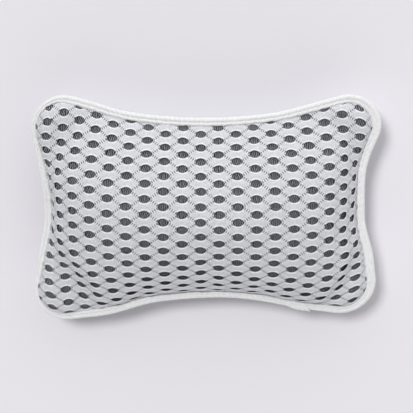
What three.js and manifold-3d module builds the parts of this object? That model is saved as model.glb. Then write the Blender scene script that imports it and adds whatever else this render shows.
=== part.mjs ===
// A bone-shaped bath pillow of spacer mesh, lying on its back on four suction cups.
// The crowned front is a perforated face knit over a dark base knit. A plain knit closes the back,
// fibre fill holds the crown up, and a folded tape binds the three cloths together all round.
// Millimetres. +X runs along the pillow, +Y to its upper long side, +Z out of the crowned front.
// The origin lies under the middle of the pillow, in the plane of the suction cups' rims.

import * as THREE from 'three';
import { mergeVertices } from 'three/addons/utils/BufferGeometryUtils.js';
import Module from 'manifold-3d';

const wasm = await Module();
wasm.setup();

// Outline: four round ears joined by long and short sides that are drawn in as arcs
const WIDTH = 310;
const HEIGHT = 209;
const EAR_RADIUS = 28;
const LONG_SIDE_SAG = 19;
const SHORT_SIDE_SAG = 12;

// Steps of the outline in each quarter of the pillow
const LONG_SIDE_STEPS = 6;
const EAR_STEPS = 5;
const SHORT_SIDE_STEPS = 4;

// Cloth layers and the clearance between them
const FACE_THICKNESS = 0.9;
const BASE_THICKNESS = 0.8;
const BACK_THICKNESS = 0.8;
const SPACER_GAP = 2.0;
const SPACER_GAP_RUN = 4;
const LAYER_CLEARANCE = 0.3;

// Folded binding tape
const BINDING_WIDTH = 6.5;
const TAPE_THICKNESS = 0.8;
const TAPE_FOLD_THICKNESS = 1.2;
const CLOTH_EDGE_CLEARANCE = 1.2;
const CREASE_CLEARANCE = 0.8;
const LAP_X = 83;
const LAP_LENGTH = 14;
const LAP_CLIMB = 9;
const LAP_LEAD = 1;
const LAP_SLANT = 6;
const LAP_CLEARANCE = 0.3;
const FOLD_ROUNDING = 2.0;

// Crowned front, as the product of an arch across the pillow and one along it, each with two unlike sides
const FRONT_CROWN = 40;
const UPPER_ARCH = { power: 2, fullness: 1.03 };
const LOWER_ARCH = { power: 2, fullness: 0.62 };
const LEFT_ARCH = { power: 3.9, fullness: 0.5 };
const RIGHT_ARCH = { power: 5.4, fullness: 0.79 };
const EDGE_ROLL = 6;
const EDGE_ROLL_POWER = 0.11;

// Low, flat ears. Each folds up to the crown along a line that lies some way inside the ear's centre,
// square to a bearing from the pillow's length, and the flank reaches on from the line to the crown.
const EAR_RISE = 8;
const EAR_ROLL = 14;
const EAR_ROLL_POWER = 0.6;
const EAR_FOLD_WIDTH = 14;
const UPPER_RIGHT_FOLD_INSET = 9.5;
const UPPER_RIGHT_FLANK = 12;
const UPPER_LEFT_FOLD_INSET = 5.5;
const UPPER_LEFT_FLANK = 20;
const LOWER_LEFT_FOLD_INSET = 15;
const LOWER_LEFT_FLANK = 25;
const LOWER_RIGHT_FOLD_INSET = 7;
const LOWER_RIGHT_FLANK = 16;
const EAR_FOLDS = [
  { signX: 1, signY: 1, bearing: 31.6, inside: UPPER_RIGHT_FOLD_INSET, flank: UPPER_RIGHT_FLANK },
  { signX: -1, signY: 1, bearing: 31.6, inside: UPPER_LEFT_FOLD_INSET, flank: UPPER_LEFT_FLANK },
  { signX: -1, signY: -1, bearing: 33.5, inside: LOWER_LEFT_FOLD_INSET, flank: LOWER_LEFT_FLANK },
  { signX: 1, signY: -1, bearing: 25, inside: LOWER_RIGHT_FOLD_INSET, flank: LOWER_RIGHT_FLANK },
];

// Shallow back
const BACK_DEPTH = 22;
const BACK_RUN = 22;

// Holes of the face knit: staggered columns on a cloth that stretches over the crown
const COLUMN_PITCH = 16.16;
const ROW_PITCH = 13.42;
const COLUMN_SHIFT = -4.1;
const ROW_SHIFT = 3.3;
const CROSS_STRETCH = 0.067;
const LENGTH_STRETCH = 0.059;
const HOLE_WIDTH = 10.4;
const HOLE_HEIGHT = 7.4;
const HOLE_EDGE_MARGIN = 1.5;
const NET_BORDER = 4;

// Suction cups with a mushroom head, and the eyelet and washer that hold each one
const CUP_X = 88;
const CUP_Y = 42;
const CUP_RADIUS = 21;
const CUP_RIM_WIDTH = 2;
const CUP_RIM_THICKNESS = 1.2;
const CUP_HOLLOW = 5.5;
const CUP_SHOULDER_RADIUS = 6;
const CUP_SHOULDER_LENGTH = 2;
const CUP_HEIGHT = 11.4;
const NECK_RADIUS = 3.5;
const NECK_CLEARANCE = 0.5;
const HEAD_RADIUS = 5.8;
const HEAD_HEIGHT = 3.2;
const HEAD_EDGE = 1.1;
const HEAD_CAP_RADIUS = 4;
const HEAD_CAP_RISE = 0.5;
const TAB_LENGTH = 8;
const TAB_WIDTH = 9;
const TAB_THICKNESS = 1.4;
const TAB_LIFT = 0.5;
const EYELET_WALL = 1.0;
const EYELET_FLANGE_RADIUS = 8.5;
const EYELET_FLANGE_THICKNESS = 1.0;
const EYELET_LIP_OVERHANG = 1.2;
const EYELET_LIP_THICKNESS = 0.6;
const WASHER_THICKNESS = 0.9;
const POCKET_CLEARANCE = 0.5;
const CUP_SEGMENTS = 20;
const TAB_SEGMENTS = 6;
const EYELET_SEGMENTS = 16;

// Heights that follow from the sizes above
const eyeletBottom = CUP_HEIGHT + LAYER_CLEARANCE;
const eyeletFlangeTop = eyeletBottom + EYELET_FLANGE_THICKNESS;
const backBottom = eyeletFlangeTop + LAYER_CLEARANCE;
const backTop = backBottom + BACK_THICKNESS;
const washerBottom = backTop + LAYER_CLEARANCE;
const washerTop = washerBottom + WASHER_THICKNESS;
const lipBottom = washerTop + LAYER_CLEARANCE;
const eyeletTop = lipBottom + EYELET_LIP_THICKNESS;
const headBottom = eyeletTop + LAYER_CLEARANCE;
const headTop = headBottom + HEAD_HEIGHT;
const backFlangeBottom = backBottom + BACK_DEPTH;
const backFlangeTop = backFlangeBottom + BACK_THICKNESS;
const baseFlangeTop = backFlangeTop + LAYER_CLEARANCE + BASE_THICKNESS;
const faceFlangeTop = baseFlangeTop + LAYER_CLEARANCE + FACE_THICKNESS;
const slotBottom = backFlangeBottom - LAYER_CLEARANCE;
const slotTop = faceFlangeTop + LAYER_CLEARANCE;
const seamMiddle = (slotBottom + slotTop) / 2;
const clothEdgeInset = TAPE_FOLD_THICKNESS + CLOTH_EDGE_CLEARANCE;
const creaseInset = BINDING_WIDTH + CREASE_CLEARANCE;
const netInset = creaseInset + NET_BORDER;

// Eyelet radii that follow from the cup's neck
const boreRadius = NECK_RADIUS + NECK_CLEARANCE;
const barrelRadius = boreRadius + EYELET_WALL;
const washerHoleRadius = barrelRadius + LAYER_CLEARANCE;
const lipRadius = barrelRadius + EYELET_LIP_OVERHANG;

// Centres and radii of the outline's arcs in the first quarter
const ear = { x: WIDTH / 2 - EAR_RADIUS, y: HEIGHT / 2 - EAR_RADIUS };

function drawnInArcRadius(halfChord, sag) {
  return (halfChord ** 2 + (EAR_RADIUS - sag) ** 2 - EAR_RADIUS ** 2) / (2 * sag);
}

const longRadius = drawnInArcRadius(ear.x, LONG_SIDE_SAG);
const longCentreY = HEIGHT / 2 - LONG_SIDE_SAG + longRadius;
const shortRadius = drawnInArcRadius(ear.y, SHORT_SIDE_SAG);
const shortCentreX = WIDTH / 2 - SHORT_SIDE_SAG + shortRadius;
const earFrom = Math.atan2(-ear.y, shortCentreX - ear.x);
const earTo = Math.atan2(longCentreY - ear.y, -ear.x);

function longSideStation(x) {
  const angle = Math.asin(x / longRadius);
  return { x, y: longCentreY - longRadius * Math.cos(angle), nx: -Math.sin(angle), ny: Math.cos(angle) };
}

function shortSideStation(y) {
  const angle = Math.asin(y / shortRadius);
  return { x: shortCentreX - shortRadius * Math.cos(angle), y, nx: Math.cos(angle), ny: -Math.sin(angle) };
}

function earStation(angle) {
  const nx = Math.cos(angle);
  const ny = Math.sin(angle);
  return { x: ear.x + EAR_RADIUS * nx, y: ear.y + EAR_RADIUS * ny, nx, ny };
}

// Stations with their outward normals along the first quarter, from the short side to the long side
function quarterStations() {
  const shortEnd = earStation(earFrom).y;
  const longEnd = earStation(earTo).x;
  const stations = [];
  for (let i = 0; i < SHORT_SIDE_STEPS; i += 1) {
    stations.push(shortSideStation((shortEnd * i) / SHORT_SIDE_STEPS));
  }
  for (let i = 0; i < EAR_STEPS; i += 1) {
    stations.push(earStation(earFrom + ((earTo - earFrom) * i) / EAR_STEPS));
  }
  for (let i = LONG_SIDE_STEPS; i >= 0; i -= 1) {
    stations.push(longSideStation((longEnd * i) / LONG_SIDE_STEPS));
  }
  return stations;
}

function mirrored(station, signX, signY) {
  return { x: station.x * signX, y: station.y * signY, nx: station.nx * signX, ny: station.ny * signY };
}

// The whole outline, counter-clockwise seen from the front
function outlineStations() {
  const quarter = quarterStations();
  const there = quarter.slice(0, -1);
  const back = quarter.slice(1).reverse();
  return [
    ...there,
    ...back.map((station) => mirrored(station, -1, 1)),
    ...there.map((station) => mirrored(station, -1, -1)),
    ...back.map((station) => mirrored(station, 1, -1)),
  ];
}

const outline = outlineStations();

function ringAtInset(inset) {
  return outline.map((station) => ({ x: station.x - inset * station.nx, y: station.y - inset * station.ny }));
}

// Distance inside the crease where the cloth leaves the binding, negative under the binding
function distanceInside(x, y) {
  const px = Math.abs(x);
  const py = Math.abs(y);
  const fromLongSide = Math.hypot(px, longCentreY - py) - longRadius;
  const fromShortSide = Math.hypot(shortCentreX - px, py) - shortRadius;
  const bearing = Math.atan2(py - ear.y, px - ear.x);
  const facesEar = bearing > earFrom && bearing < earTo;
  const fromEar = facesEar ? EAR_RADIUS - Math.hypot(px - ear.x, py - ear.y) : Infinity;
  return Math.min(fromLongSide, fromShortSide, fromEar) - creaseInset;
}

function arch(share, { power, fullness }) {
  return Math.max(0, 1 - Math.abs(share) ** power) ** fullness;
}

function rollUp(inside, run, power) {
  return Math.sin((Math.PI / 2) * Math.min(1, inside / run)) ** power;
}

// Share of an ear at a place, from none up on the crown to all past the fold line
function earShare(x, y, { signX, signY, bearing, inside, flank }) {
  const angle = THREE.MathUtils.degToRad(bearing);
  const outX = (x * signX - ear.x) * Math.cos(angle);
  const outY = (y * signY - ear.y) * Math.sin(angle);
  return THREE.MathUtils.smoothstep(outX + outY + inside, -flank, EAR_FOLD_WIDTH);
}

// Height of the crowned front over the flat cloth that the binding holds
function crownHeight(x, y) {
  const inside = distanceInside(x, y);
  if (inside <= 0) {
    return 0;
  }
  const halfHeight = longCentreY - Math.sqrt((longRadius + creaseInset) ** 2 - x * x);
  const halfWidth = shortCentreX - Math.sqrt((shortRadius + creaseInset) ** 2 - y * y);
  const across = arch(y / halfHeight, y > 0 ? UPPER_ARCH : LOWER_ARCH);
  const along = arch(x / halfWidth, x > 0 ? RIGHT_ARCH : LEFT_ARCH);
  const crown = FRONT_CROWN * across * along * rollUp(inside, EDGE_ROLL, EDGE_ROLL_POWER);
  const earHeight = EAR_RISE * rollUp(inside, EAR_ROLL, EAR_ROLL_POWER);
  const eased = (height, fold) => THREE.MathUtils.lerp(height, earHeight, earShare(x, y, fold));
  return EAR_FOLDS.reduce(eased, crown);
}

// Slopes of the crown, taken over a short step
const SLOPE_STEP = 0.2;

function crownSlopes(x, y) {
  return {
    alongX: (crownHeight(x + SLOPE_STEP, y) - crownHeight(x - SLOPE_STEP, y)) / (2 * SLOPE_STEP),
    alongY: (crownHeight(x, y + SLOPE_STEP) - crownHeight(x, y - SLOPE_STEP)) / (2 * SLOPE_STEP),
  };
}

// A point on the front, or at a depth under it measured square to the surface
function frontPoint(x, y, depth) {
  if (distanceInside(x, y) <= SLOPE_STEP) {
    return [x, y, faceFlangeTop - depth];
  }
  const { alongX, alongY } = crownSlopes(x, y);
  const scale = depth / Math.hypot(alongX, alongY, 1);
  return [x + alongX * scale, y + alongY * scale, faceFlangeTop + crownHeight(x, y) - scale];
}

// Depth of the base knit: the spacer yarns stand up over the crown and are pressed flat in the seam
function baseDepth(x, y) {
  const stand = THREE.MathUtils.clamp(distanceInside(x, y) / SPACER_GAP_RUN, 0, 1);
  return FACE_THICKNESS + THREE.MathUtils.lerp(LAYER_CLEARANCE, SPACER_GAP, stand);
}

// Underside of the back: a parabola down from the seam to a flat bottom
function backHeight(x, y) {
  const run = THREE.MathUtils.clamp(distanceInside(x, y) / BACK_RUN, 0, 1);
  return backFlangeBottom - BACK_DEPTH * (1 - (1 - run) ** 2);
}

// A closed solid between an upper and a lower surface that share one flat triangulation
function sheetGeometry(triangles, upper, lower) {
  const count = upper.length;
  const indices = [];
  const directed = new Set(triangles.flatMap(([a, b, c]) => [`${a},${b}`, `${b},${c}`, `${c},${a}`]));
  for (const [a, b, c] of triangles) {
    indices.push(a, b, c, c + count, b + count, a + count);
    for (const [from, to] of [[a, b], [b, c], [c, a]]) {
      if (!directed.has(`${to},${from}`)) {
        indices.push(to, from, from + count, to, from + count, to + count);
      }
    }
  }
  const geometry = new THREE.BufferGeometry();
  geometry.setAttribute('position', new THREE.Float32BufferAttribute([...upper, ...lower].flat(), 3));
  geometry.setIndex(indices);
  return geometry;
}

// Triangles of the strip between two rings of equal count, the first ring outside the second
function stripTriangles(outerStart, innerStart, count) {
  const triangles = [];
  for (let i = 0; i < count; i += 1) {
    const next = (i + 1) % count;
    triangles.push([outerStart + i, outerStart + next, innerStart + next]);
    triangles.push([outerStart + i, innerStart + next, innerStart + i]);
  }
  return triangles;
}

// A disc of rings that shrink to the middle, for the cloths and the fill
function discPlan(insets, shares) {
  const rings = insets.map(ringAtInset);
  const innermost = rings[rings.length - 1];
  for (const share of shares) {
    rings.push(innermost.map(({ x, y }) => ({ x: x * share, y: y * share })));
  }
  const points = [...rings.flat(), { x: 0, y: 0 }];
  const count = outline.length;
  const triangles = [];
  for (let ring = 0; ring + 1 < rings.length; ring += 1) {
    triangles.push(...stripTriangles(ring * count, (ring + 1) * count, count));
  }
  const lastStart = (rings.length - 1) * count;
  for (let i = 0; i < count; i += 1) {
    triangles.push([lastStart + i, lastStart + ((i + 1) % count), points.length - 1]);
  }
  return { points, triangles };
}

function toSolid(geometry) {
  const bare = geometry.clone();
  bare.deleteAttribute('normal');
  bare.deleteAttribute('uv');
  const merged = mergeVertices(bare);
  const corners = merged.index.array;
  const triVerts = [];
  for (let i = 0; i < corners.length; i += 3) {
    const [a, b, c] = corners.slice(i, i + 3);
    if (a !== b && b !== c && c !== a) {
      triVerts.push(a, b, c);
    }
  }
  const vertProperties = new Float32Array(merged.attributes.position.array);
  const mesh = new wasm.Mesh({ numProp: 3, vertProperties, triVerts: new Uint32Array(triVerts) });
  return new wasm.Manifold(mesh);
}

function toGeometry(solid) {
  const mesh = solid.getMesh();
  const geometry = new THREE.BufferGeometry();
  geometry.setAttribute('position', new THREE.BufferAttribute(new Float32Array(mesh.vertProperties), 3));
  geometry.setIndex(new THREE.BufferAttribute(new Uint32Array(mesh.triVerts), 1));
  return geometry;
}

const cupPlaces = [
  { x: CUP_X, y: CUP_Y },
  { x: -CUP_X, y: CUP_Y },
  { x: -CUP_X, y: -CUP_Y },
  { x: CUP_X, y: -CUP_Y },
];

// The solid with one round hole cut at every cup, between two heights
function cutAtCups(geometry, radius, bottom, top) {
  let solid = toSolid(geometry);
  for (const { x, y } of cupPlaces) {
    const drill = new THREE.CylinderGeometry(radius, radius, top - bottom, EYELET_SEGMENTS);
    drill.rotateX(Math.PI / 2);
    drill.translate(x, y, (bottom + top) / 2);
    solid = solid.subtract(toSolid(drill));
  }
  return toGeometry(solid);
}

function revolve(profile, segments) {
  const points = profile.map(([radius, height]) => new THREE.Vector2(radius, height));
  const geometry = new THREE.LatheGeometry(points, segments);
  geometry.rotateX(Math.PI / 2);
  return toGeometry(toSolid(geometry));
}

// Where a column and a row of the knit come to lie, followed step by step from the middle of the crown
const MARCH_STEP = 1;
const MARCH_LIMIT = WIDTH;
const KNIT_PASSES = 6;

function knitScale(slope, height, stretch) {
  return (1 + stretch * (height / FRONT_CROWN - 1)) / Math.hypot(1, slope);
}

function lengthScale(x, y) {
  return knitScale(crownSlopes(x, y).alongX, crownHeight(x, y), LENGTH_STRETCH);
}

function crossScale(x, y) {
  return knitScale(crownSlopes(x, y).alongY, crownHeight(x, y), CROSS_STRETCH);
}

function marchTo(length, scaleAt) {
  const direction = Math.sign(length);
  let place = 0;
  let laid = 0;
  while (Math.abs(place) < MARCH_LIMIT) {
    const cloth = MARCH_STEP / scaleAt(place + (direction * MARCH_STEP) / 2);
    if (laid + cloth >= Math.abs(length)) {
      return place + (direction * MARCH_STEP * (Math.abs(length) - laid)) / cloth;
    }
    laid += cloth;
    place += direction * MARCH_STEP;
  }
  return place;
}

function knitPoint(clothX, clothY) {
  let x = clothX;
  let y = clothY;
  for (let pass = 0; pass < KNIT_PASSES; pass += 1) {
    const row = y;
    x = marchTo(clothX, (at) => lengthScale(at, row));
    const column = x;
    y = marchTo(clothY, (at) => crossScale(column, at));
  }
  return { x, y };
}

// Corners of a hole, counter-clockwise from its right end. Six corners stand for an oval of the same area.
const HOLE_CORNERS = 6;
const HOLE_AREA_SCALE = Math.sqrt((2 * Math.PI) / (HOLE_CORNERS * Math.sin((2 * Math.PI) / HOLE_CORNERS)));

function holeCorners(column, row) {
  const centre = knitPoint(column * COLUMN_PITCH + COLUMN_SHIFT, (row * ROW_PITCH) / 2 + ROW_SHIFT);
  const halfWidth = (HOLE_WIDTH / 2) * HOLE_AREA_SCALE * lengthScale(centre.x, centre.y);
  const halfHeight = (HOLE_HEIGHT / 2) * HOLE_AREA_SCALE * crossScale(centre.x, centre.y);
  const corners = [];
  for (let i = 0; i < HOLE_CORNERS; i += 1) {
    const angle = (2 * Math.PI * i) / HOLE_CORNERS;
    corners.push({ x: centre.x + halfWidth * Math.cos(angle), y: centre.y + halfHeight * Math.sin(angle) });
  }
  return corners;
}

// Every hole that lies clear of the plain border, keyed by its column and row
function findHoles() {
  const holes = new Map();
  const columns = Math.ceil(WIDTH / COLUMN_PITCH);
  const rows = Math.ceil((2 * HEIGHT) / ROW_PITCH);
  const leastInside = NET_BORDER + HOLE_EDGE_MARGIN;
  for (let column = -columns; column <= columns; column += 1) {
    for (let row = -rows; row <= rows; row += 1) {
      if ((column + row) % 2 === 0) {
        const corners = holeCorners(column, row);
        if (corners.every(({ x, y }) => distanceInside(x, y) >= leastInside)) {
          holes.set(`${column},${row}`, { column, row, corners });
        }
      }
    }
  }
  return holes;
}

function isCounterClockwise(points, [a, b, c]) {
  const ab = { x: points[b].x - points[a].x, y: points[b].y - points[a].y };
  const ac = { x: points[c].x - points[a].x, y: points[c].y - points[a].y };
  return ab.x * ac.y - ab.y * ac.x > 0;
}

// Closed loops round a patch of faces, from the directed edges that no neighbour shares
function boundaryLoops(faces) {
  const edges = faces.flatMap((face) => face.map((from, i) => [from, face[(i + 1) % face.length]]));
  const directed = new Set(edges.map(([from, to]) => `${from},${to}`));
  const next = new Map(edges.filter(([from, to]) => !directed.has(`${to},${from}`)));
  const loops = [];
  while (next.size > 0) {
    const loop = [];
    let at = next.keys().next().value;
    while (next.has(at)) {
      loop.push(at);
      const following = next.get(at);
      next.delete(at);
      at = following;
    }
    loops.push(loop);
  }
  return loops;
}

// Two corners that face each other over a shared edge add up to no more than this in well-shaped triangles
const MOST_FACING_ANGLES = Math.PI + 1e-6;

function cornerAngle(points, at, from, to) {
  const one = { x: points[from].x - points[at].x, y: points[from].y - points[at].y };
  const other = { x: points[to].x - points[at].x, y: points[to].y - points[at].y };
  return Math.atan2(Math.abs(one.x * other.y - one.y * other.x), one.x * other.x + one.y * other.y);
}

// Turns the shared edge of two triangles wherever that makes them less long and thin
function evenTriangles(points, triangles) {
  let turned = true;
  while (turned) {
    turned = false;
    const owners = new Map();
    triangles.forEach(([a, b, c], index) => {
      owners.set(`${a},${b}`, [index, c]);
      owners.set(`${b},${c}`, [index, a]);
      owners.set(`${c},${a}`, [index, b]);
    });
    const touched = new Set();
    for (const [edge, [index, far]] of owners) {
      const [from, to] = edge.split(',').map(Number);
      const [other, opposite] = owners.get(`${to},${from}`) ?? [index, far];
      const isFree = other !== index && !touched.has(index) && !touched.has(other);
      const facing = cornerAngle(points, far, from, to) + cornerAngle(points, opposite, from, to);
      if (isFree && facing > MOST_FACING_ANGLES) {
        triangles[index] = [far, from, opposite];
        triangles[other] = [opposite, to, far];
        touched.add(index);
        touched.add(other);
        turned = true;
      }
    }
  }
  return triangles;
}

// The perforated knit: diamonds of cloth between four holes each, a band round them, and a plain border
function netPlan() {
  const holes = findHoles();
  const points = [];
  const holeFaces = new Map();
  for (const [key, { corners }] of holes) {
    holeFaces.set(key, corners.map((corner) => points.push(corner) - 1));
  }
  const diamonds = [];
  const triangles = [];
  for (const { column, row } of holes.values()) {
    const left = holeFaces.get(`${column},${row}`);
    const right = holeFaces.get(`${column + 2},${row}`);
    const over = holeFaces.get(`${column + 1},${row + 1}`);
    const under = holeFaces.get(`${column + 1},${row - 1}`);
    if (right && over && under) {
      diamonds.push([
        left[1], left[0], left[5], under[2], under[1], right[4], right[3], right[2], over[5], over[4],
      ]);
      triangles.push(
        [left[1], left[0], over[4]], [left[0], left[5], under[2]], [left[0], under[2], over[4]],
        [over[4], under[2], over[5]], [under[2], under[1], over[5]],
        [over[5], under[1], right[3]], [under[1], right[4], right[3]], [over[5], right[3], right[2]],
      );
    }
  }
  const borderStart = points.length;
  const rings = [netInset, creaseInset, clothEdgeInset].map(ringAtInset);
  points.push(...rings.flat());
  const count = outline.length;
  const contour = rings[0].map((_, i) => borderStart + i);
  const loops = boundaryLoops([...diamonds, ...holeFaces.values()]);
  const order = [...contour, ...loops.flat()];
  const place = (index) => new THREE.Vector2(points[index].x, points[index].y);
  const band = THREE.ShapeUtils.triangulateShape(contour.map(place), loops.map((loop) => loop.map(place)));
  for (const corners of band) {
    const triangle = corners.map((corner) => order[corner]);
    triangles.push(isCounterClockwise(points, triangle) ? triangle : triangle.reverse());
  }
  const border = [
    ...stripTriangles(borderStart + count, borderStart, count),
    ...stripTriangles(borderStart + 2 * count, borderStart + count, count),
  ];
  return { points, triangles: [...evenTriangles(points, triangles), ...border] };
}

function frontMeshFace() {
  const { points, triangles } = netPlan();
  const upper = points.map(({ x, y }) => frontPoint(x, y, 0));
  const lower = points.map(({ x, y }) => frontPoint(x, y, FACE_THICKNESS));
  return sheetGeometry(triangles, upper, lower);
}

// Rings of the cloths and the fill inside the border, as shares of the border's own size
const BACK_RINGS = [0.93, 0.87, 0.8, 0.7];
const CROWN_RINGS = [...BACK_RINGS, 0.36];

function frontMeshBase() {
  const { points, triangles } = discPlan([clothEdgeInset, creaseInset, netInset], CROWN_RINGS);
  const upper = points.map(({ x, y }) => frontPoint(x, y, baseDepth(x, y)));
  const lower = points.map(({ x, y }) => frontPoint(x, y, baseDepth(x, y) + BASE_THICKNESS));
  return sheetGeometry(triangles, upper, lower);
}

function backPanel() {
  const { points, triangles } = discPlan([clothEdgeInset, creaseInset, netInset], BACK_RINGS);
  const lower = points.map(({ x, y }) => [x, y, backHeight(x, y)]);
  const upper = lower.map(([x, y, z]) => [x, y, z + BACK_THICKNESS]);
  const cloth = sheetGeometry(triangles, upper, lower);
  return cutAtCups(cloth, washerHoleRadius, eyeletFlangeTop, washerBottom);
}

function fillPad() {
  const { points, triangles } = discPlan([netInset], CROWN_RINGS);
  const depth = (x, y) => baseDepth(x, y) + BASE_THICKNESS + LAYER_CLEARANCE;
  const upper = points.map(({ x, y }) => frontPoint(x, y, depth(x, y)));
  const lower = points.map(({ x, y }) => [x, y, backHeight(x, y) + BACK_THICKNESS + LAYER_CLEARANCE]);
  const pocketRadius = Math.max(EYELET_FLANGE_RADIUS, HEAD_RADIUS) + POCKET_CLEARANCE;
  const pad = sheetGeometry(triangles, upper, lower);
  return cutAtCups(pad, pocketRadius, backBottom, headTop + POCKET_CLEARANCE);
}

// Bearings round the fold of the tape, from its front leg to its back leg
const FOLD_BEARINGS = [90, 40, 0, -40, -90].map(THREE.MathUtils.degToRad);

// Folded tape as one open strip. Its end climbs over its start and is cut on a slant.
function edgeBinding() {
  const start = outline.findIndex(({ x, y }) => y < 0 && x > LAP_X);
  const around = [...outline.slice(start), ...outline.slice(0, start)];
  const low = (x) => mirrored(longSideStation(x), 1, -1);
  const climbFrom = LAP_X - LAP_CLIMB;
  const onRun = ({ x, y }) => !(y < 0 && x > climbFrom - LAP_LEAD && x < LAP_X + LAP_LEAD);
  const stations = [
    { ...low(LAP_X), raise: 0, slant: 0 },
    ...around.filter(onRun).map((station) => ({ ...station, raise: 0, slant: 0 })),
    { ...low(climbFrom), raise: 0, slant: 0 },
    { ...low(LAP_X - LAP_LEAD), raise: 1, slant: 0 },
    { ...low(LAP_X + LAP_LENGTH), raise: 1, slant: LAP_SLANT },
  ];
  const halfSlot = (slotTop - slotBottom) / 2;
  const rings = stations.map(({ x, y, nx, ny, raise, slant }) => {
    const out = raise * (TAPE_FOLD_THICKNESS + LAP_CLEARANCE);
    const lift = raise * (TAPE_THICKNESS + LAP_CLEARANCE);
    const inner = halfSlot + lift;
    const outer = inner + TAPE_THICKNESS;
    const section = [
      [BINDING_WIDTH, -outer], [BINDING_WIDTH, -inner], [TAPE_FOLD_THICKNESS - out, -inner],
      [TAPE_FOLD_THICKNESS - out, inner], [BINDING_WIDTH, inner], [BINDING_WIDTH, outer],
      ...FOLD_BEARINGS.map((bearing) => [
        FOLD_ROUNDING * (1 - Math.cos(bearing)) - out, outer * Math.sin(bearing),
      ]),
    ];
    return section.map(([inset, rise]) => {
      const back = (slant * inset) / BINDING_WIDTH;
      return [x - inset * nx + back * ny, y - inset * ny - back * nx, seamMiddle + rise];
    });
  });
  return loftGeometry(rings);
}

// A closed solid through a row of sections of equal count, with a flat face on each end
function loftGeometry(rings) {
  const count = rings[0].length;
  const indices = [];
  for (let ring = 0; ring + 1 < rings.length; ring += 1) {
    for (let i = 0; i < count; i += 1) {
      const next = (i + 1) % count;
      const [a, b] = [ring * count + i, ring * count + next];
      indices.push(a, b, b + count, a, b + count, a + count);
    }
  }
  const lastStart = (rings.length - 1) * count;
  const [[startX, startY]] = rings[0];
  const flat = rings[0].map(([x, y, z]) => new THREE.Vector2(Math.hypot(x - startX, y - startY), z));
  for (const corners of THREE.ShapeUtils.triangulateShape(flat, [])) {
    const [a, b, c] = corners.sort((one, other) => one - other);
    indices.push(c, b, a, lastStart + a, lastStart + b, lastStart + c);
  }
  const geometry = new THREE.BufferGeometry();
  geometry.setAttribute('position', new THREE.Float32BufferAttribute(rings.flat(2), 3));
  geometry.setIndex(indices);
  return geometry;
}

// Where the cup's hollow and dome are stepped, as shares of their run, and how full the dome is
const HOLLOW_SHARES = [0, 0.4, 0.75];
const DOME_SHARES = [0, 0.35, 0.7];
const DOME_SWELL = 0.8;

// Soft cup turned as one piece with its neck and mushroom head, and a tab on its rim to peel it off
function suctionCup() {
  const rimInner = CUP_RADIUS - CUP_RIM_WIDTH;
  const domeTop = CUP_HEIGHT - CUP_SHOULDER_LENGTH;
  const hollow = HOLLOW_SHARES.map((share) => [rimInner * share, CUP_HOLLOW * (1 - share ** 2)]);
  const domeRun = CUP_RADIUS - CUP_SHOULDER_RADIUS;
  const domeRise = domeTop - CUP_RIM_THICKNESS;
  const dome = DOME_SHARES.map((share) => [
    CUP_RADIUS - domeRun * share,
    CUP_RIM_THICKNESS + domeRise * share ** DOME_SWELL,
  ]);
  const cup = revolve([
    ...hollow,
    [rimInner, 0],
    [CUP_RADIUS, 0],
    ...dome,
    [CUP_SHOULDER_RADIUS, domeTop],
    [CUP_SHOULDER_RADIUS, CUP_HEIGHT],
    [NECK_RADIUS, CUP_HEIGHT],
    [NECK_RADIUS, headBottom],
    [HEAD_RADIUS, headBottom],
    [HEAD_RADIUS, headBottom + HEAD_EDGE],
    [HEAD_CAP_RADIUS, headTop - HEAD_CAP_RISE],
    [0, headTop],
  ], CUP_SEGMENTS);
  const tabEnd = CUP_RADIUS + TAB_LENGTH - TAB_WIDTH / 2;
  const tabStart = CUP_RADIUS - CUP_RIM_WIDTH / 2;
  const tab = new THREE.Shape();
  tab.moveTo(tabStart, -TAB_WIDTH / 2);
  tab.lineTo(tabEnd, -TAB_WIDTH / 2);
  tab.absarc(tabEnd, 0, TAB_WIDTH / 2, -Math.PI / 2, Math.PI / 2, false);
  tab.lineTo(tabStart, TAB_WIDTH / 2);
  tab.closePath();
  const plate = new THREE.ExtrudeGeometry(tab, {
    depth: TAB_THICKNESS,
    bevelEnabled: false,
    curveSegments: TAB_SEGMENTS,
  });
  plate.translate(0, 0, TAB_LIFT);
  return toGeometry(toSolid(cup).add(toSolid(plate)));
}

function eyelet() {
  return revolve([
    [boreRadius, eyeletBottom],
    [EYELET_FLANGE_RADIUS, eyeletBottom],
    [EYELET_FLANGE_RADIUS, eyeletFlangeTop],
    [barrelRadius, eyeletFlangeTop],
    [barrelRadius, lipBottom],
    [lipRadius, lipBottom],
    [lipRadius, eyeletTop],
    [boreRadius, eyeletTop],
    [boreRadius, eyeletBottom],
  ], EYELET_SEGMENTS);
}

function eyeletWasher() {
  return revolve([
    [washerHoleRadius, washerBottom],
    [EYELET_FLANGE_RADIUS, washerBottom],
    [EYELET_FLANGE_RADIUS, washerTop],
    [washerHoleRadius, washerTop],
    [washerHoleRadius, washerBottom],
  ], EYELET_SEGMENTS);
}

function finish(color, roughness, opacity = 1) {
  const transparent = opacity < 1;
  return new THREE.MeshStandardMaterial({ color, roughness, metalness: 0, opacity, transparent });
}

const pillow = new THREE.Group();

function addPiece(name, geometry, material, parent = pillow) {
  const mesh = new THREE.Mesh(geometry, material);
  mesh.name = name;
  parent.add(mesh);
}

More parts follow.
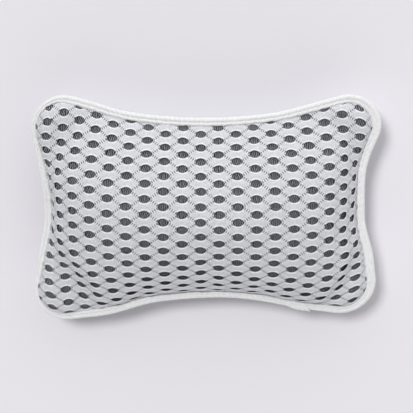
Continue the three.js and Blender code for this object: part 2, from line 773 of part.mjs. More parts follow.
addPiece('front_mesh_face', frontMeshFace(), finish(0xe2e3e6, 0.95));
addPiece('front_mesh_base', frontMeshBase(), finish(0x4c5157, 0.95));
addPiece('fill_pad', fillPad(), finish(0xf4f3f0, 1));
addPiece('back_panel', backPanel(), finish(0xe9e9eb, 0.95));
addPiece('edge_binding', edgeBinding(), finish(0xf3f3f4, 0.9));
cupPlaces.forEach(({ x, y }, i) => {
  const place = new THREE.Group();
  place.position.set(x, y, 0);
  place.rotation.z = x < 0 ? Math.PI : 0;
  pillow.add(place);
  addPiece(`eyelet_${i + 1}`, eyelet(), finish(0xf0f0f0, 0.5), place);
  addPiece(`eyelet_washer_${i + 1}`, eyeletWasher(), finish(0xf0f0f0, 0.5), place);
  addPiece(`suction_cup_${i + 1}`, suctionCup(), finish(0xdfe8ec, 0.15, 0.5), place);
});

export default pillow;
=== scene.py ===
import math

import bpy
import numpy as np
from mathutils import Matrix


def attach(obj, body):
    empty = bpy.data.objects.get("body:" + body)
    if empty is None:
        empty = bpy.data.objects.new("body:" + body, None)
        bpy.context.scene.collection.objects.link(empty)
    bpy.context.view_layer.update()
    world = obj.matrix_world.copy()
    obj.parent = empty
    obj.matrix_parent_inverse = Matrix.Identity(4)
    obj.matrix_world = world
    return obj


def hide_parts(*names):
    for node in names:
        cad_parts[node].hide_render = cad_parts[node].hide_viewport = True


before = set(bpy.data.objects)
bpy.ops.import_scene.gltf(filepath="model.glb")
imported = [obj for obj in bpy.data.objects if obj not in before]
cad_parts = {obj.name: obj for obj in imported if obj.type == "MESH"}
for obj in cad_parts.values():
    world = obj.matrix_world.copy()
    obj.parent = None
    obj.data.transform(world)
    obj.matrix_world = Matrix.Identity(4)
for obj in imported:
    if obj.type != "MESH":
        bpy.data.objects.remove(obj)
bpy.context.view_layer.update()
scene = bpy.context.scene
scene.view_settings.view_transform = "Standard"

# Studio: a pale floor that the suction cups stand on, a broad lamp from the upper left of the
# picture, a soft light from all round, and a camera that leans over the pillow's upper long side.
# Lengths in this file are millimetres and become metres where a mesh or a place is made.
MM = 0.001
SEAM_HEIGHT = 38.1
CAMERA_LEAN = math.radians(18.6)
CAMERA_DISTANCE = 1285.0
CAMERA_LENS = 125.6
AIM_RIGHT = 1.7
AIM_UP = 4.0
# The lamp stands at these slopes from the middle of the pillow, x and y for one of z
LAMP_SLOPE_X = -0.33
LAMP_SLOPE_Y = 0.6
LAMP_STRENGTH = 1.88
LAMP_WIDTH = math.radians(14)
# Light of the room: its plain level, and how it grows to the right, the top side and both long sides
ROOM_LEVEL = 0.1
ROOM_RIGHT = 0.4
ROOM_TOP = 0.1
ROOM_BOTH_SIDES = 1.65
FLOOR_SIZE = 6000.0
FLOOR_COLOUR = "E2E0E5"
FLOOR_ROUGHNESS = 0.95


def linear(hex_colour):
    """Linear colour of an sRGB hex value: each channel is put through the sRGB curve, alpha is one."""
    channels = [int(hex_colour[at:at + 2], 16) / 255 for at in (0, 2, 4)]
    curved = [part / 12.92 if part <= 0.04045 else ((part + 0.055) / 1.055) ** 2.4 for part in channels]
    return (*curved, 1.0)


def add_node(tree, kind, inputs=None, **fields):
    """Adds one node, whose own settings are the fields, and returns its outputs. An input that is given
    another node's output is linked to it, and any other input is set to its value."""
    node = tree.nodes.new(kind)
    for field, value in fields.items():
        setattr(node, field, value)
    for name, given in (inputs or {}).items():
        if isinstance(given, bpy.types.NodeSocket):
            tree.links.new(given, node.inputs[name])
        else:
            node.inputs[name].default_value = given
    return node.outputs


def new_material(name, constants):
    """A material with constant values on its shader, its node tree and the shader itself."""
    material = bpy.data.materials.new(name)
    material.use_nodes = True
    shader = material.node_tree.nodes["Principled BSDF"]
    for socket, value in constants.items():
        shader.inputs[socket].default_value = value
    return material, material.node_tree, shader


def add_piece(name, points, faces, material):
    """A smooth-shaded object from an array of points in millimetres and a list of faces."""
    mesh = bpy.data.meshes.new(name)
    mesh.from_pydata((points * MM).tolist(), [], faces)
    mesh.polygons.foreach_set("use_smooth", np.ones(len(faces), bool))
    mesh.materials.append(material)
    piece = bpy.data.objects.new(name, mesh)
    scene.collection.objects.link(piece)
    return piece


camera = bpy.data.objects.new("camera", bpy.data.cameras.new("camera"))
camera.data.lens = CAMERA_LENS
camera.rotation_euler = (-CAMERA_LEAN, 0, 0)
camera.location = (
    AIM_RIGHT * MM,
    (AIM_UP * math.cos(CAMERA_LEAN) + CAMERA_DISTANCE * math.sin(CAMERA_LEAN)) * MM,
    (SEAM_HEIGHT - AIM_UP * math.sin(CAMERA_LEAN) + CAMERA_DISTANCE * math.cos(CAMERA_LEAN)) * MM,
)
scene.collection.objects.link(camera)
scene.camera = camera

lamp = bpy.data.objects.new("lamp", bpy.data.lights.new("lamp", "SUN"))
lamp.data.energy = LAMP_STRENGTH
lamp.data.angle = LAMP_WIDTH
lamp.rotation_euler = (-math.atan(LAMP_SLOPE_Y / math.hypot(1, LAMP_SLOPE_X)), math.atan(LAMP_SLOPE_X), 0)
scene.collection.objects.link(lamp)

# The room lights softly, brighter from the pillow's two long sides and its right than from above, as
# large soft boxes do. Where the camera or a reflection sees past the floor it shows the floor's colour.
world = bpy.data.worlds.new("studio")
world.use_nodes = True
scene.world = world
sky = world.node_tree
way = add_node(sky, "ShaderNodeSeparateXYZ", {0: add_node(sky, "ShaderNodeTexCoord")["Generated"]})
from_right = add_node(sky, "ShaderNodeMath", {0: way[0], 1: ROOM_RIGHT, 2: ROOM_LEVEL},
                      operation="MULTIPLY_ADD", use_clamp=True)
top_rate = add_node(sky, "ShaderNodeMath", {0: way[1], 1: ROOM_BOTH_SIDES, 2: ROOM_TOP},
                    operation="MULTIPLY_ADD")
room_light = add_node(sky, "ShaderNodeMath", {0: top_rate[0], 1: way[1], 2: from_right[0]},
                      operation="MULTIPLY_ADD")
light_path = add_node(sky, "ShaderNodeLightPath")
seen = light_path["Is Camera Ray"]
for ray in ("Is Glossy Ray", "Is Transmission Ray"):
    seen = add_node(sky, "ShaderNodeMath", {0: seen, 1: light_path[ray]}, operation="MAXIMUM")[0]
fill_light = add_node(sky, "ShaderNodeBackground", {"Color": (1, 1, 1, 1), "Strength": room_light[0]})
backdrop = add_node(sky, "ShaderNodeBackground", {"Color": linear(FLOOR_COLOUR), "Strength": 1.0})
shown = add_node(sky, "ShaderNodeMixShader", {0: seen, 1: fill_light[0], 2: backdrop[0]})
sky.links.new(shown[0], sky.nodes["World Output"].inputs["Surface"])

# Plain matte paint without any shine, so that the floor shows nothing but the shadow
floor_paint, _, _ = new_material("matte_floor_paint", {
    "Base Color": linear(FLOOR_COLOUR), "Roughness": FLOOR_ROUGHNESS, "Specular IOR Level": 0.0,
})
floor_corners = np.array([[-1, -1, 0], [1, -1, 0], [1, 1, 0], [-1, 1, 0]]) * FLOOR_SIZE / 2
floor = add_piece("floor", floor_corners, [[0, 1, 2, 3]], floor_paint)

# Fill pad: a loose pad of white polyester fibre, blown into the cover before it is sewn shut.
# It gives the front its crown and the back its rounded edge. It also sets the pillow's plan,
# a bone shape of arcs that are tangent to each other, which every other layer follows.
LENGTH = 310.0
HEIGHT = 209.0
EAR_RADIUS = 28.0
LONG_SAG = 19.0
SHORT_SAG = 12.0
LONG_STEPS = 28
EAR_STEPS = 26
SHORT_STEPS = 18
# The sewn edge: its crease and the cloths' cut edge inside the seam, the share of that width which
# this pillow has, how much less its left ears and more its right ears have, and from which x on
CREASE_INSET = 7.3
CLOTH_EDGE_INSET = 2.7
EDGE_SHARE = 0.92
LEFT_EDGE_LESS = 0.35
RIGHT_EDGE_MORE = 0.2
EDGE_CHANGE_START = 112.0
# The crown: an arch across the pillow and one along it, each with two unlike sides
CROWN = 40.0
CROSS_POWER = 2.0
TOP_FULLNESS = 1.03
LOW_FULLNESS = 0.62
LEFT_POWER = 3.9
LEFT_FULLNESS = 0.5
RIGHT_POWER = 5.4
RIGHT_FULLNESS = 0.79
EDGE_ROLL = 6.0
EDGE_ROLL_POWER = 0.11
BACK_EDGE = 35.0
BACK_DEPTH = 22.0
BACK_RUN = 22.0
EAR_RISE = 8.0
EAR_ROLL = 14.0
EAR_ROLL_POWER = 0.6
EAR_FOLD_WIDTH = 3.0
# Lines where a flat ear folds up to the crown, by the ear's sides of x and y: the bearing from the
# pillow's length that the line is square to, how far inside the ear's centre it lies, its flank's reach
EAR_FOLDS = {
    (1, 1): (math.radians(31.6), 6.0, 12.0),
    (-1, 1): (math.radians(31.6), 4.0, 17.0),
    (-1, -1): (math.radians(33.5), 11.4, 25.0),
    (1, -1): (math.radians(25.0), 3.6, 16.0),
}
# How far each corner of this pillow lies drawn in, by its sides of x and y, and from which x on
CORNER_DRAWS = {(-1, 1): (4.0, 0.0), (1, 1): (0.0, 1.5), (1, -1): (0.0, 8.0)}
CORNER_START = 97.0
# Where this pillow's edge lies off the even bone shape: the middle of the stretch in x and y, how far
# it reaches to each side in x and y, and how far its middle is moved in x and y
EDGE_MOVES = (
    (25.0, -90.0, 75.0, 35.0, 0.0, 2.4),
    (-86.0, -100.0, 48.0, 42.0, 0.0, -5.5),
    (112.0, -100.0, 40.0, 40.0, 0.0, 2.2),
    (150.0, 40.0, 45.0, 42.0, -3.2, 0.0),
    (150.0, -42.0, 45.0, 40.0, 4.5, 0.0),
    (-150.0, -42.0, 45.0, 40.0, -2.6, 0.0),
    (-150.0, 45.0, 45.0, 35.0, -1.3, 0.0),
    (-105.0, 98.0, 42.0, 38.0, 0.0, 3.0),
    (105.0, 98.0, 48.0, 38.0, 0.0, 2.4),
)
RING_CROWDING = 1.7
FILL_RINGS = 16
FIBRE_DEPTH = 7.0
FIBRE_CLEARANCE = 1.6
FIBRE_TUFT = 6.25
FIBRE_COLOUR = "F2F1EC"
# Painted shade that the fibre's tufts cast on each other
FIBRE_PAINTED_SHADE_COLOUR = "DEDCD6"
FIBRE_ROUGHNESS = 0.95

ear_x = LENGTH / 2 - EAR_RADIUS
ear_y = HEIGHT / 2 - EAR_RADIUS
long_radius = (ear_x ** 2 + (EAR_RADIUS - LONG_SAG) ** 2 - EAR_RADIUS ** 2) / (2 * LONG_SAG)
short_radius = (ear_y ** 2 + (EAR_RADIUS - SHORT_SAG) ** 2 - EAR_RADIUS ** 2) / (2 * SHORT_SAG)
long_centre = HEIGHT / 2 - LONG_SAG + long_radius
short_centre = LENGTH / 2 - SHORT_SAG + short_radius
ear_start = math.atan2(-ear_y, short_centre - ear_x)
ear_end = math.atan2(long_centre - ear_y, -ear_x)


def seam_loop():
    """Points round the seam and their outward directions, anticlockwise from the right-hand waist.
    One quarter is three tangent arcs, drawn-in short side, ear and drawn-in long side; the other
    three are its mirror images."""
    short_turn = np.linspace(math.pi, math.atan2(ear_y, ear_x - short_centre), SHORT_STEPS + 1)
    ear_turn = np.linspace(ear_start, ear_end, EAR_STEPS + 1)[1:]
    long_turn = np.linspace(math.atan2(ear_y - long_centre, ear_x), -math.pi / 2, LONG_STEPS + 1)[1:]
    short_way = np.stack([np.cos(short_turn), np.sin(short_turn)], 1)
    ear_way = np.stack([np.cos(ear_turn), np.sin(ear_turn)], 1)
    long_way = np.stack([np.cos(long_turn), np.sin(long_turn)], 1)
    points = np.concatenate([
        [short_centre, 0] + short_radius * short_way,
        [ear_x, ear_y] + EAR_RADIUS * ear_way,
        [0, long_centre] + long_radius * long_way,
    ])
    outward = np.concatenate([-short_way, ear_way, -long_way])
    quarters = []
    for mirror, backward in (((1, 1), False), ((-1, 1), True), ((-1, -1), False), ((1, -1), True)):
        pair = np.stack([points, outward]) * np.array(mirror)
        quarters.append((pair[:, ::-1] if backward else pair)[:, :-1])
    return np.concatenate(quarters, axis=1)


def eased(share):
    """A smooth step: 0 up to a share of 0, 1 from a share of 1, level at both ends."""
    share = np.clip(share, 0, 1)
    return share * share * (3 - 2 * share)


def edge_share(x, y):
    """Width of the sewn edge against its nominal width: narrower at the left ears and wider at the
    right ones, as the tape of this pillow is folded."""
    past_start = eased((np.abs(x) - EDGE_CHANGE_START) / (LENGTH / 2 - EDGE_CHANGE_START))
    at_ear = past_start * eased(np.abs(y) / ear_y)
    return EDGE_SHARE + at_ear * np.where(x > 0, RIGHT_EDGE_MORE, -LEFT_EDGE_LESS)


def distance_inside(x, y):
    """Distance from the crease inside the binding, positive inwards: the least of the distances to
    the long arc, the short arc and, within its turn, the ear arc of the nearest quarter."""
    across, up = np.abs(x), np.abs(y)
    from_long = np.hypot(across, long_centre - up) - long_radius
    from_short = np.hypot(short_centre - across, up) - short_radius
    bearing = np.arctan2(up - ear_y, across - ear_x)
    at_ear = (bearing > ear_start) & (bearing < ear_end)
    from_ear = np.where(at_ear, EAR_RADIUS - np.hypot(across - ear_x, up - ear_y), LENGTH)
    return np.minimum(np.minimum(from_long, from_short), from_ear) - CREASE_INSET * edge_share(x, y)


def half_extent(centre, radius, along, most):
    """Distance from a centre line of the pillow to the crease on the arc that faces it."""
    return centre - np.sqrt((radius + CREASE_INSET) ** 2 - np.minimum(np.abs(along), most) ** 2)


def arch(share, power, fullness):
    """An arch from 1 in the middle to 0 at a share of 1: the power flattens it, the fullness fills it."""
    return np.clip(1 - np.abs(share) ** power, 0, 1) ** fullness


def rolled(inward, run, power):
    """A quarter of a sine from 0 at the crease to 1 past the run, made steeper by the power."""
    return np.sin(math.pi / 2 * np.clip(inward / run, 0, 1)) ** power


def crown_height(x, y):
    """Rise of the front over the seam: the crown times one arch across the pillow, one flatter arch
    along it and a quick roll next to the seam. Past each ear's fold line it eases into a low, flat ear."""
    to_long = half_extent(long_centre, long_radius, x, LENGTH / 2)
    to_short = half_extent(short_centre, short_radius, y, HEIGHT / 2)
    across = arch(y / to_long, CROSS_POWER, np.where(y > 0, TOP_FULLNESS, LOW_FULLNESS))
    on_right = x > 0
    along = arch(x / to_short, np.where(on_right, RIGHT_POWER, LEFT_POWER),
                 np.where(on_right, RIGHT_FULLNESS, LEFT_FULLNESS))
    inward = distance_inside(x, y)
    rise = CROWN * across * along * rolled(inward, EDGE_ROLL, EDGE_ROLL_POWER)
    ear = EAR_RISE * rolled(inward, EAR_ROLL, EAR_ROLL_POWER)
    for (side_x, side_y), (bearing, inside, flank) in EAR_FOLDS.items():
        out = (side_x * x - ear_x) * math.cos(bearing) + (side_y * y - ear_y) * math.sin(bearing)
        rise = rise + (ear - rise) * eased((out + inside + flank) / (flank + EAR_FOLD_WIDTH))
    return rise


def corner_share(x, y, side_x, side_y, start):
    """How much a place belongs to one corner: smooth steps along the pillow and up it, multiplied."""
    return eased((side_x * x - start) / (LENGTH / 2 - start)) * eased(side_y * y / (HEIGHT / 2))


def drawn(points):
    """The points with each corner drawn in and the edge moved as this pillow lies, which leaves the
    cups' places alone."""
    x, y = points[..., 0], points[..., 1]
    moved = points.copy()
    for (side_x, side_y), move in CORNER_DRAWS.items():
        moved[..., :2] += corner_share(x, y, side_x, side_y, CORNER_START)[..., None] * move
    for middle_x, middle_y, reach_x, reach_y, *move in EDGE_MOVES:
        share = eased(1 - np.abs(x - middle_x) / reach_x) * eased(1 - np.abs(y - middle_y) / reach_y)
        moved[..., :2] += share[..., None] * move
    return moved


def back_height(x, y):
    """Height of the back: a parabola from the seam down to a flat that starts BACK_RUN inside it."""
    run = np.clip(distance_inside(x, y) / BACK_RUN, 0, 1)
    return BACK_EDGE - BACK_DEPTH * (1 - (1 - run) ** 2)


seam, seam_outward = seam_loop()
seam_inward = -seam_outward * edge_share(seam[:, :1], seam[:, 1:])
crease = seam + CREASE_INSET * seam_inward
stations = len(seam)


def grid_faces(rows, width, closed, flipped=False):
    """Four-cornered faces from each row of points to the next, numbered row by row. Closed rows also
    join their last point to their first, and flipped faces look the other way."""
    row = np.arange(rows - 1)[:, None] * width
    spot = np.arange(width if closed else width - 1)
    after = (spot + 1) % width
    corners = [row + spot, row + width + spot, row + width + after, row + after]
    if flipped:
        corners = corners[:1] + corners[:0:-1]
    return np.stack(corners, -1).reshape(-1, 4)


def disc_faces(rings, width):
    """Faces of a disc: a fan from its first point to the first ring, then faces from ring to ring."""
    place = np.arange(width)
    fan = np.stack([np.zeros(width, int), 1 + place, 1 + (place + 1) % width], 1)
    return fan.tolist() + (1 + grid_faces(rings, width, closed=True)).tolist()


def dish(shares, flange_insets=()):
    """Plan of a closed sheet: a middle point, rings that are the crease scaled by each share, then
    rings of the sewn edge at each inset from the seam. Returns the plan points and the faces."""
    rings = [share * crease for share in shares]
    rings += [seam + inset * seam_inward for inset in flange_insets]
    return np.concatenate([np.zeros((1, 2)), *rings]), disc_faces(len(rings), stations)


def crowded(count, crowding):
    """Ring shares from near the middle to the crease, crowded towards the crease by a power."""
    return 1 - (1 - np.arange(1, count + 1) / count) ** crowding


# The cover settles on the fill: a coarser closed cover is blown up a little with its seam and its
# back held, and how far each point then lies off the drawn crown is kept for all the front's layers.
COVER_STEP = 2
COVER_RINGS = 24
COVER_CROWDING = 1.2
COVER_START = 0.97
COVER_PRESSURE = 4.0
COVER_SLACK = -0.025
COVER_FRAMES = 20
COVER_SHARE = 0.4
BACK_COVER_SHARES = (0.92, 0.8, 0.6, 0.35, 0.12)
cover_loop = crease[::COVER_STEP]
cover_stations = len(cover_loop)


def blown_cover():
    """How far the front of the cover moves off the drawn crown, ring by ring and station by station:
    the cloth starts a little under the crown, has some slack, and is pressed out from within. Only
    a share of its way is taken, because the real fill gives way less than air."""
    middle = np.zeros((1, 2))
    plan = np.concatenate([middle] + [share * cover_loop for share in crowded(COVER_RINGS, COVER_CROWDING)])
    under = np.concatenate([share * cover_loop for share in BACK_COVER_SHARES] + [middle])
    rise = crown_height(plan[:, 0], plan[:, 1])
    front = np.column_stack([plan, SEAM_HEIGHT + COVER_START * rise])
    behind = np.column_stack([under, back_height(under[:, 0], under[:, 1])])
    rows = COVER_RINGS + len(BACK_COVER_SHARES)
    last = 1 + cover_stations * rows
    last_ring = last - cover_stations + np.arange(cover_stations)
    closing = np.stack([np.full(cover_stations, last), np.roll(last_ring, -1), last_ring], 1)
    faces = disc_faces(rows, cover_stations) + closing.tolist()
    cover = add_piece("cover_form", np.concatenate([front, behind]), faces, fibre)
    held = cover.vertex_groups.new(name="held")
    held.add(list(range(len(front) - cover_stations, last + 1)), 1.0, "REPLACE")
    cloth = cover.modifiers.new("cloth", "CLOTH")
    cloth.settings.vertex_group_mass = held.name
    cloth.settings.use_pressure = True
    cloth.settings.uniform_pressure_force = COVER_PRESSURE
    cloth.settings.effector_weights.gravity = 0
    cloth.settings.shrink_min = COVER_SLACK
    for step in range(1, COVER_FRAMES + 1):
        scene.frame_set(step)
    settled = cover.evaluated_get(bpy.context.evaluated_depsgraph_get()).to_mesh()
    places = np.zeros(len(settled.vertices) * 3)
    settled.vertices.foreach_get("co", places)
    moved = COVER_SHARE * (places.reshape(-1, 3)[:len(front)] / MM - front)
    bpy.data.objects.remove(cover)
    scene.frame_set(1)
    off = front + moved - np.column_stack([plan, SEAM_HEIGHT + rise])
    at_middle = np.repeat(off[:1], cover_stations, axis=0)
    return np.concatenate([at_middle, off[1:]]).reshape(COVER_RINGS + 1, cover_stations, 3)


# A mix node's sockets for its two colours and their mix go by number: its other kinds have the same names
LOW_COLOUR = 6
HIGH_COLOUR = 7
MIXED_COLOUR = 2

# Loose matte warm white fibre with painted shade in soft tufts of about 6 mm, where loose fibre shades
# itself
fibre, fibre_tree, fibre_shader = new_material("polyester_fibre_fill", {"Roughness": FIBRE_ROUGHNESS})
tufts = add_node(fibre_tree, "ShaderNodeTexNoise", {
    "Vector": add_node(fibre_tree, "ShaderNodeTexCoord")["Object"],
    "Scale": 1 / (FIBRE_TUFT * MM), "Detail": 6.0, "Distortion": 2.0,
})
fibre_colour = add_node(fibre_tree, "ShaderNodeMix", {
    "Factor": tufts[0], LOW_COLOUR: linear(FIBRE_PAINTED_SHADE_COLOUR), HIGH_COLOUR: linear(FIBRE_COLOUR),
}, data_type="RGBA")
fibre_tree.links.new(fibre_colour[MIXED_COLOUR], fibre_shader.inputs["Base Color"])

cover_off = blown_cover()
cover_bearing = np.unwrap(np.arctan2(cover_loop[:, 1], cover_loop[:, 0]))
cover_reach = np.hypot(cover_loop[:, 0], cover_loop[:, 1])


def spline_weights(past):
    """Weights of a smooth cubic spline for the four entries around a place, given how far the place
    lies past the second of them."""
    return ((1 - past) ** 3 / 6, (3 * past ** 3 - 6 * past ** 2 + 4) / 6,
            (-3 * past ** 3 + 3 * past ** 2 + 3 * past + 1) / 6, past ** 3 / 6)


def settling(x, y):
    """The cover's move at any place of the plan: the place's share of the way to the crease and its
    bearing give a ring and a station, and cubic spline weights blend the 16 moves around them."""
    bearing = np.mod(np.arctan2(y, x), 2 * math.pi)
    turns = np.append(cover_bearing, cover_bearing[0] + 2 * math.pi)
    reach = np.interp(bearing, turns, np.append(cover_reach, cover_reach[0]))
    share = np.clip(np.hypot(x, y) / reach, 0, 1)
    ring = COVER_RINGS * (1 - (1 - share) ** (1 / COVER_CROWDING))
    station = np.interp(bearing, turns, np.arange(cover_stations + 1))
    total = np.zeros((*x.shape, 3))
    ring_low = np.floor(ring).astype(int)
    station_low = np.floor(station).astype(int)
    for ring_step, ring_weight in enumerate(spline_weights(ring - ring_low), -1):
        at_ring = np.clip(ring_low + ring_step, 0, COVER_RINGS)
        for station_step, station_weight in enumerate(spline_weights(station - station_low), -1):
            at_station = (station_low + station_step) % cover_stations
            total += (ring_weight * station_weight)[..., None] * cover_off[at_ring, at_station]
    return total * (share < 1)[..., None]


# A table of the crown and its slopes, read in between, serves every layer of the front
TABLE_STEP = 0.5
TABLE_X = 165.0
TABLE_Y = 115.0
table_x = np.arange(-TABLE_X, TABLE_X + TABLE_STEP / 2, TABLE_STEP)
table_y = np.arange(-TABLE_Y, TABLE_Y + TABLE_STEP / 2, TABLE_STEP)
table_places = np.meshgrid(table_x, table_y, indexing="ij")
table_rise = crown_height(*table_places)
table_slope_x = np.gradient(table_rise, TABLE_STEP, axis=0)
table_slope_y = np.gradient(table_rise, TABLE_STEP, axis=1)


def look_up(table, x, y):
    """The table's value at any place of the plan, blended from the four entries around it."""
    column = np.clip((x + TABLE_X) / TABLE_STEP, 0, len(table_x) - 1)
    row = np.clip((y + TABLE_Y) / TABLE_STEP, 0, len(table_y) - 1)
    left = np.minimum(column.astype(int), len(table_x) - 2)
    low = np.minimum(row.astype(int), len(table_y) - 2)
    past_left, past_low = column - left, row - low
    return ((1 - past_left) * (1 - past_low) * table[left, low]
            + past_left * (1 - past_low) * table[left + 1, low]
            + (1 - past_left) * past_low * table[left, low + 1]
            + past_left * past_low * table[left + 1, low + 1])


def front_surface(x, y, depth):
    """A point of the front under the plan place x, y: the seam's height plus the crown plus the
    cover's settling, moved down along the surface's own direction by the depth."""
    facing = np.stack([-look_up(table_slope_x, x, y), -look_up(table_slope_y, x, y), np.ones_like(x)], -1)
    facing /= np.linalg.norm(facing, axis=-1, keepdims=True)
    top = np.stack([x, y, SEAM_HEIGHT + look_up(table_rise, x, y)], -1)
    return drawn(top + settling(x, y) - np.asarray(depth)[..., None] * facing)


def fill_pad():
    """The fibre: the front lowered by the thickness of both knits and their gap, and the back raised
    by the back cloth, joined all round inside the crease."""
    plan, faces = dish(crowded(FILL_RINGS, RING_CROWDING)[:-1])
    x, y = plan[:, 0], plan[:, 1]
    upper = front_surface(x, y, np.full(len(plan), FIBRE_DEPTH))
    lower = drawn(np.column_stack([plan, back_height(x, y) + FIBRE_CLEARANCE]))
    lower[:, 2] = np.minimum(lower[:, 2], upper[:, 2] - FIBRE_CLEARANCE)
    count = len(plan)
    under_faces = [[count + corner for corner in face[::-1]] for face in faces]
    place = count - stations + np.arange(stations)
    after = np.roll(place, -1)
    side = np.stack([place, place + count, after + count, after], 1).tolist()
    return np.concatenate([upper, lower]), faces + under_faces + side


pad = add_piece("fibre_fill_pad", *fill_pad(), fibre)
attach(pad, "pillow")
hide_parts("fill_pad")

# Base knit: the dark lower cloth of the spacer mesh, warp-knitted of charcoal polyester in the same
# machine as the face. It lies on the fill and shows through the face's holes, with the lighter spacer
# yarns that stand on it seen as slanted streaks.
BASE_THICKNESS = 0.8
BASE_DEPTH_SEWN = 1.2
BASE_DEPTH = 2.9
SPACER_RUN = 10.0
FRONT_RINGS = 40
# Rings of the sewn edge, by their inset from the seam, out to the cut edge
SEWN_INSETS = (6.0, 4.4, CLOTH_EDGE_INSET)
STREAK_PITCH = 1.7
STREAK_LENGTH = 2.0
STREAK_WANDER_SIZE = 2.5
# How far a streak leans and wanders, and where its edge starts and ends, as shares of the pitch
STREAK_LEAN = 0.6
STREAK_WANDER = 1.2
STREAK_EDGE_START = 0.28
STREAK_EDGE_END = 0.42
STREAK_BUMP = 0.5
STREAK_RELIEF = 0.4
BASE_COLOUR = "1B1C20"
STREAK_COLOUR = "AEB0B8"
BASE_ROUGHNESS = 0.9

# Dark matte knit that is lit up by rows of short light yarns, which zigzag up the cloth and wander.
# They are drawn slightly coarser than the real ones, which stand 1.3 to 1.5 mm apart.
base_knit, base_tree, base_shader = new_material(
    "charcoal_polyester_warp_knit", {"Roughness": BASE_ROUGHNESS})
base_place = add_node(base_tree, "ShaderNodeTexCoord")["Object"]
base_axes = add_node(base_tree, "ShaderNodeSeparateXYZ", {0: base_place})
yarn_turn = add_node(base_tree, "ShaderNodeMath", {0: base_axes[1], 1: 1 / (STREAK_LENGTH * MM)},
                     operation="MULTIPLY")
yarn_lean = add_node(base_tree, "ShaderNodeMath", {0: yarn_turn[0], 1: 1.0}, operation="PINGPONG")
wander = add_node(base_tree, "ShaderNodeTexNoise",
                  {"Vector": base_place, "Scale": 1 / (STREAK_WANDER_SIZE * MM)})
wandered = add_node(base_tree, "ShaderNodeMath", {0: wander[0], 1: STREAK_WANDER}, operation="MULTIPLY")
yarn_shift = add_node(base_tree, "ShaderNodeMath", {0: yarn_lean[0], 1: STREAK_LEAN, 2: wandered[0]},
                      operation="MULTIPLY_ADD")
yarn_place = add_node(base_tree, "ShaderNodeMath",
                      {0: base_axes[0], 1: 1 / (STREAK_PITCH * MM), 2: yarn_shift[0]},
                      operation="MULTIPLY_ADD")
yarn_row = add_node(base_tree, "ShaderNodeMath", {0: yarn_place[0], 1: 0.5}, operation="PINGPONG")
streaks = add_node(base_tree, "ShaderNodeMapRange",
                   {"Value": yarn_row[0], "From Min": STREAK_EDGE_START, "From Max": STREAK_EDGE_END},
                   interpolation_type="SMOOTHSTEP")
base_colour = add_node(base_tree, "ShaderNodeMix", {
    "Factor": streaks[0], LOW_COLOUR: linear(BASE_COLOUR), HIGH_COLOUR: linear(STREAK_COLOUR),
}, data_type="RGBA")
base_tree.links.new(base_colour[MIXED_COLOUR], base_shader.inputs["Base Color"])
base_bump = add_node(base_tree, "ShaderNodeBump",
                     {"Height": streaks[0], "Strength": STREAK_BUMP, "Distance": STREAK_RELIEF * MM})
base_tree.links.new(base_bump[0], base_shader.inputs["Normal"])


def base_sheet():
    """The front lowered to the base's depth, which grows from the sewn edge to full over SPACER_RUN,
    and then a flat sewn edge inside the binding."""
    plan, faces = dish(crowded(FRONT_RINGS, RING_CROWDING), SEWN_INSETS)
    x, y = plan[:, 0], plan[:, 1]
    opening = np.clip(distance_inside(x, y) / SPACER_RUN, 0, 1)
    return front_surface(x, y, BASE_DEPTH_SEWN + (BASE_DEPTH - BASE_DEPTH_SEWN) * opening), faces


base = add_piece("spacer_mesh_base_knit", *base_sheet(), base_knit)
base_wall = base.modifiers.new("cloth_thickness", "SOLIDIFY")
base_wall.thickness = BASE_THICKNESS * MM
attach(base, "pillow")
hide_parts("front_mesh_base")

# Face knit: the light grey upper cloth of the spacer mesh, with staggered oval holes left open by
# the warp. Plain diamonds lie between four holes, and ladders of open stitches run from hole to hole.
COLUMN_PITCH = 16.16
ROW_PITCH = 6.71
COLUMN_SHIFT = -3.1
ROW_SHIFT = 3.1
COLUMNS_EACH_WAY = 12
ROWS_EACH_WAY = 20
LENGTH_STRETCH = 0.059
CROSS_STRETCH = 0.067
# How far the knit itself is pulled at each corner when it is sewn, by the corner's sides of x and y,
# and from which x on
KNIT_DRAWS = {
    (-1, -1): (-1.2, -0.9),
    (1, -1): (-2.7, -2.9),
    (-1, 1): (-0.8, -0.5),
    (1, 1): (-2.7, 3.1),
}
KNIT_CORNER_START = 60.0
# A hole's left end is blunt and its right end more pointed
HOLE_HALF_LENGTH = 5.1
HOLE_HALF_HEIGHT = 3.55
HOLE_BLUNT_POWER = 2.35
HOLE_POINTED_POWER = 1.65
EDGE_STEPS = 6
HOLE_RINGS = 6
HOLE_RING_CROWDING = 1.3
FACE_THICKNESS = 0.7
LIP_RISE = 0.45
LIP_RUN = 0.6
DIAMOND_PUFF = 0.5
RELIEF_RUN = 4.0
FLANGE_RUN = 4.6
# Search for a place of the cloth on the plan: its first guess, its steps and the share of each taken
PLAN_GUESS = 0.9
NEWTON_STEPS = 40
NEWTON_SHARE = 0.8
LEAN_STEP = 0.01
MERGE_SCALE = 1e4
# The struts' ladders, with the soft edges of strut and rung
STRUT_LEAN = math.radians(36)
STRUT_LENGTH = 7.5
STRUT_SIDE_EDGE = 0.35
STRUT_END_EDGE = 0.3
STRUT_SHINE = 0.5
RUNG_PITCH = 2.05
RUNG_GAP_SHARE = 0.46
RUNG_GAP_EDGE = 0.08
RUNG_HALF_LENGTH = 1.35
RUNG_GAP_SINK = -0.6
FUZZ_SIZE = 1.3
# The noise's low and high end, and how far the yarn is darkened and lightened there
FUZZ_LOW = 0.3
FUZZ_HIGH = 0.7
FUZZ_DARKEST = 0.76
FUZZ_LIGHTEST = 1.14
FACE_BUMP = 0.6
FACE_RELIEF = 0.6
YARN_COLOUR = "CCCDD2"
# Painted highlight on each hole's raised rim, also mixed in where the struts are lighter
RIM_HIGHLIGHT_AND_STRUT_COLOUR = "EFEFF2"
RUNG_GAP_COLOUR = "202327"
FACE_ROUGHNESS = 0.92
FACE_SHEEN = 0.15


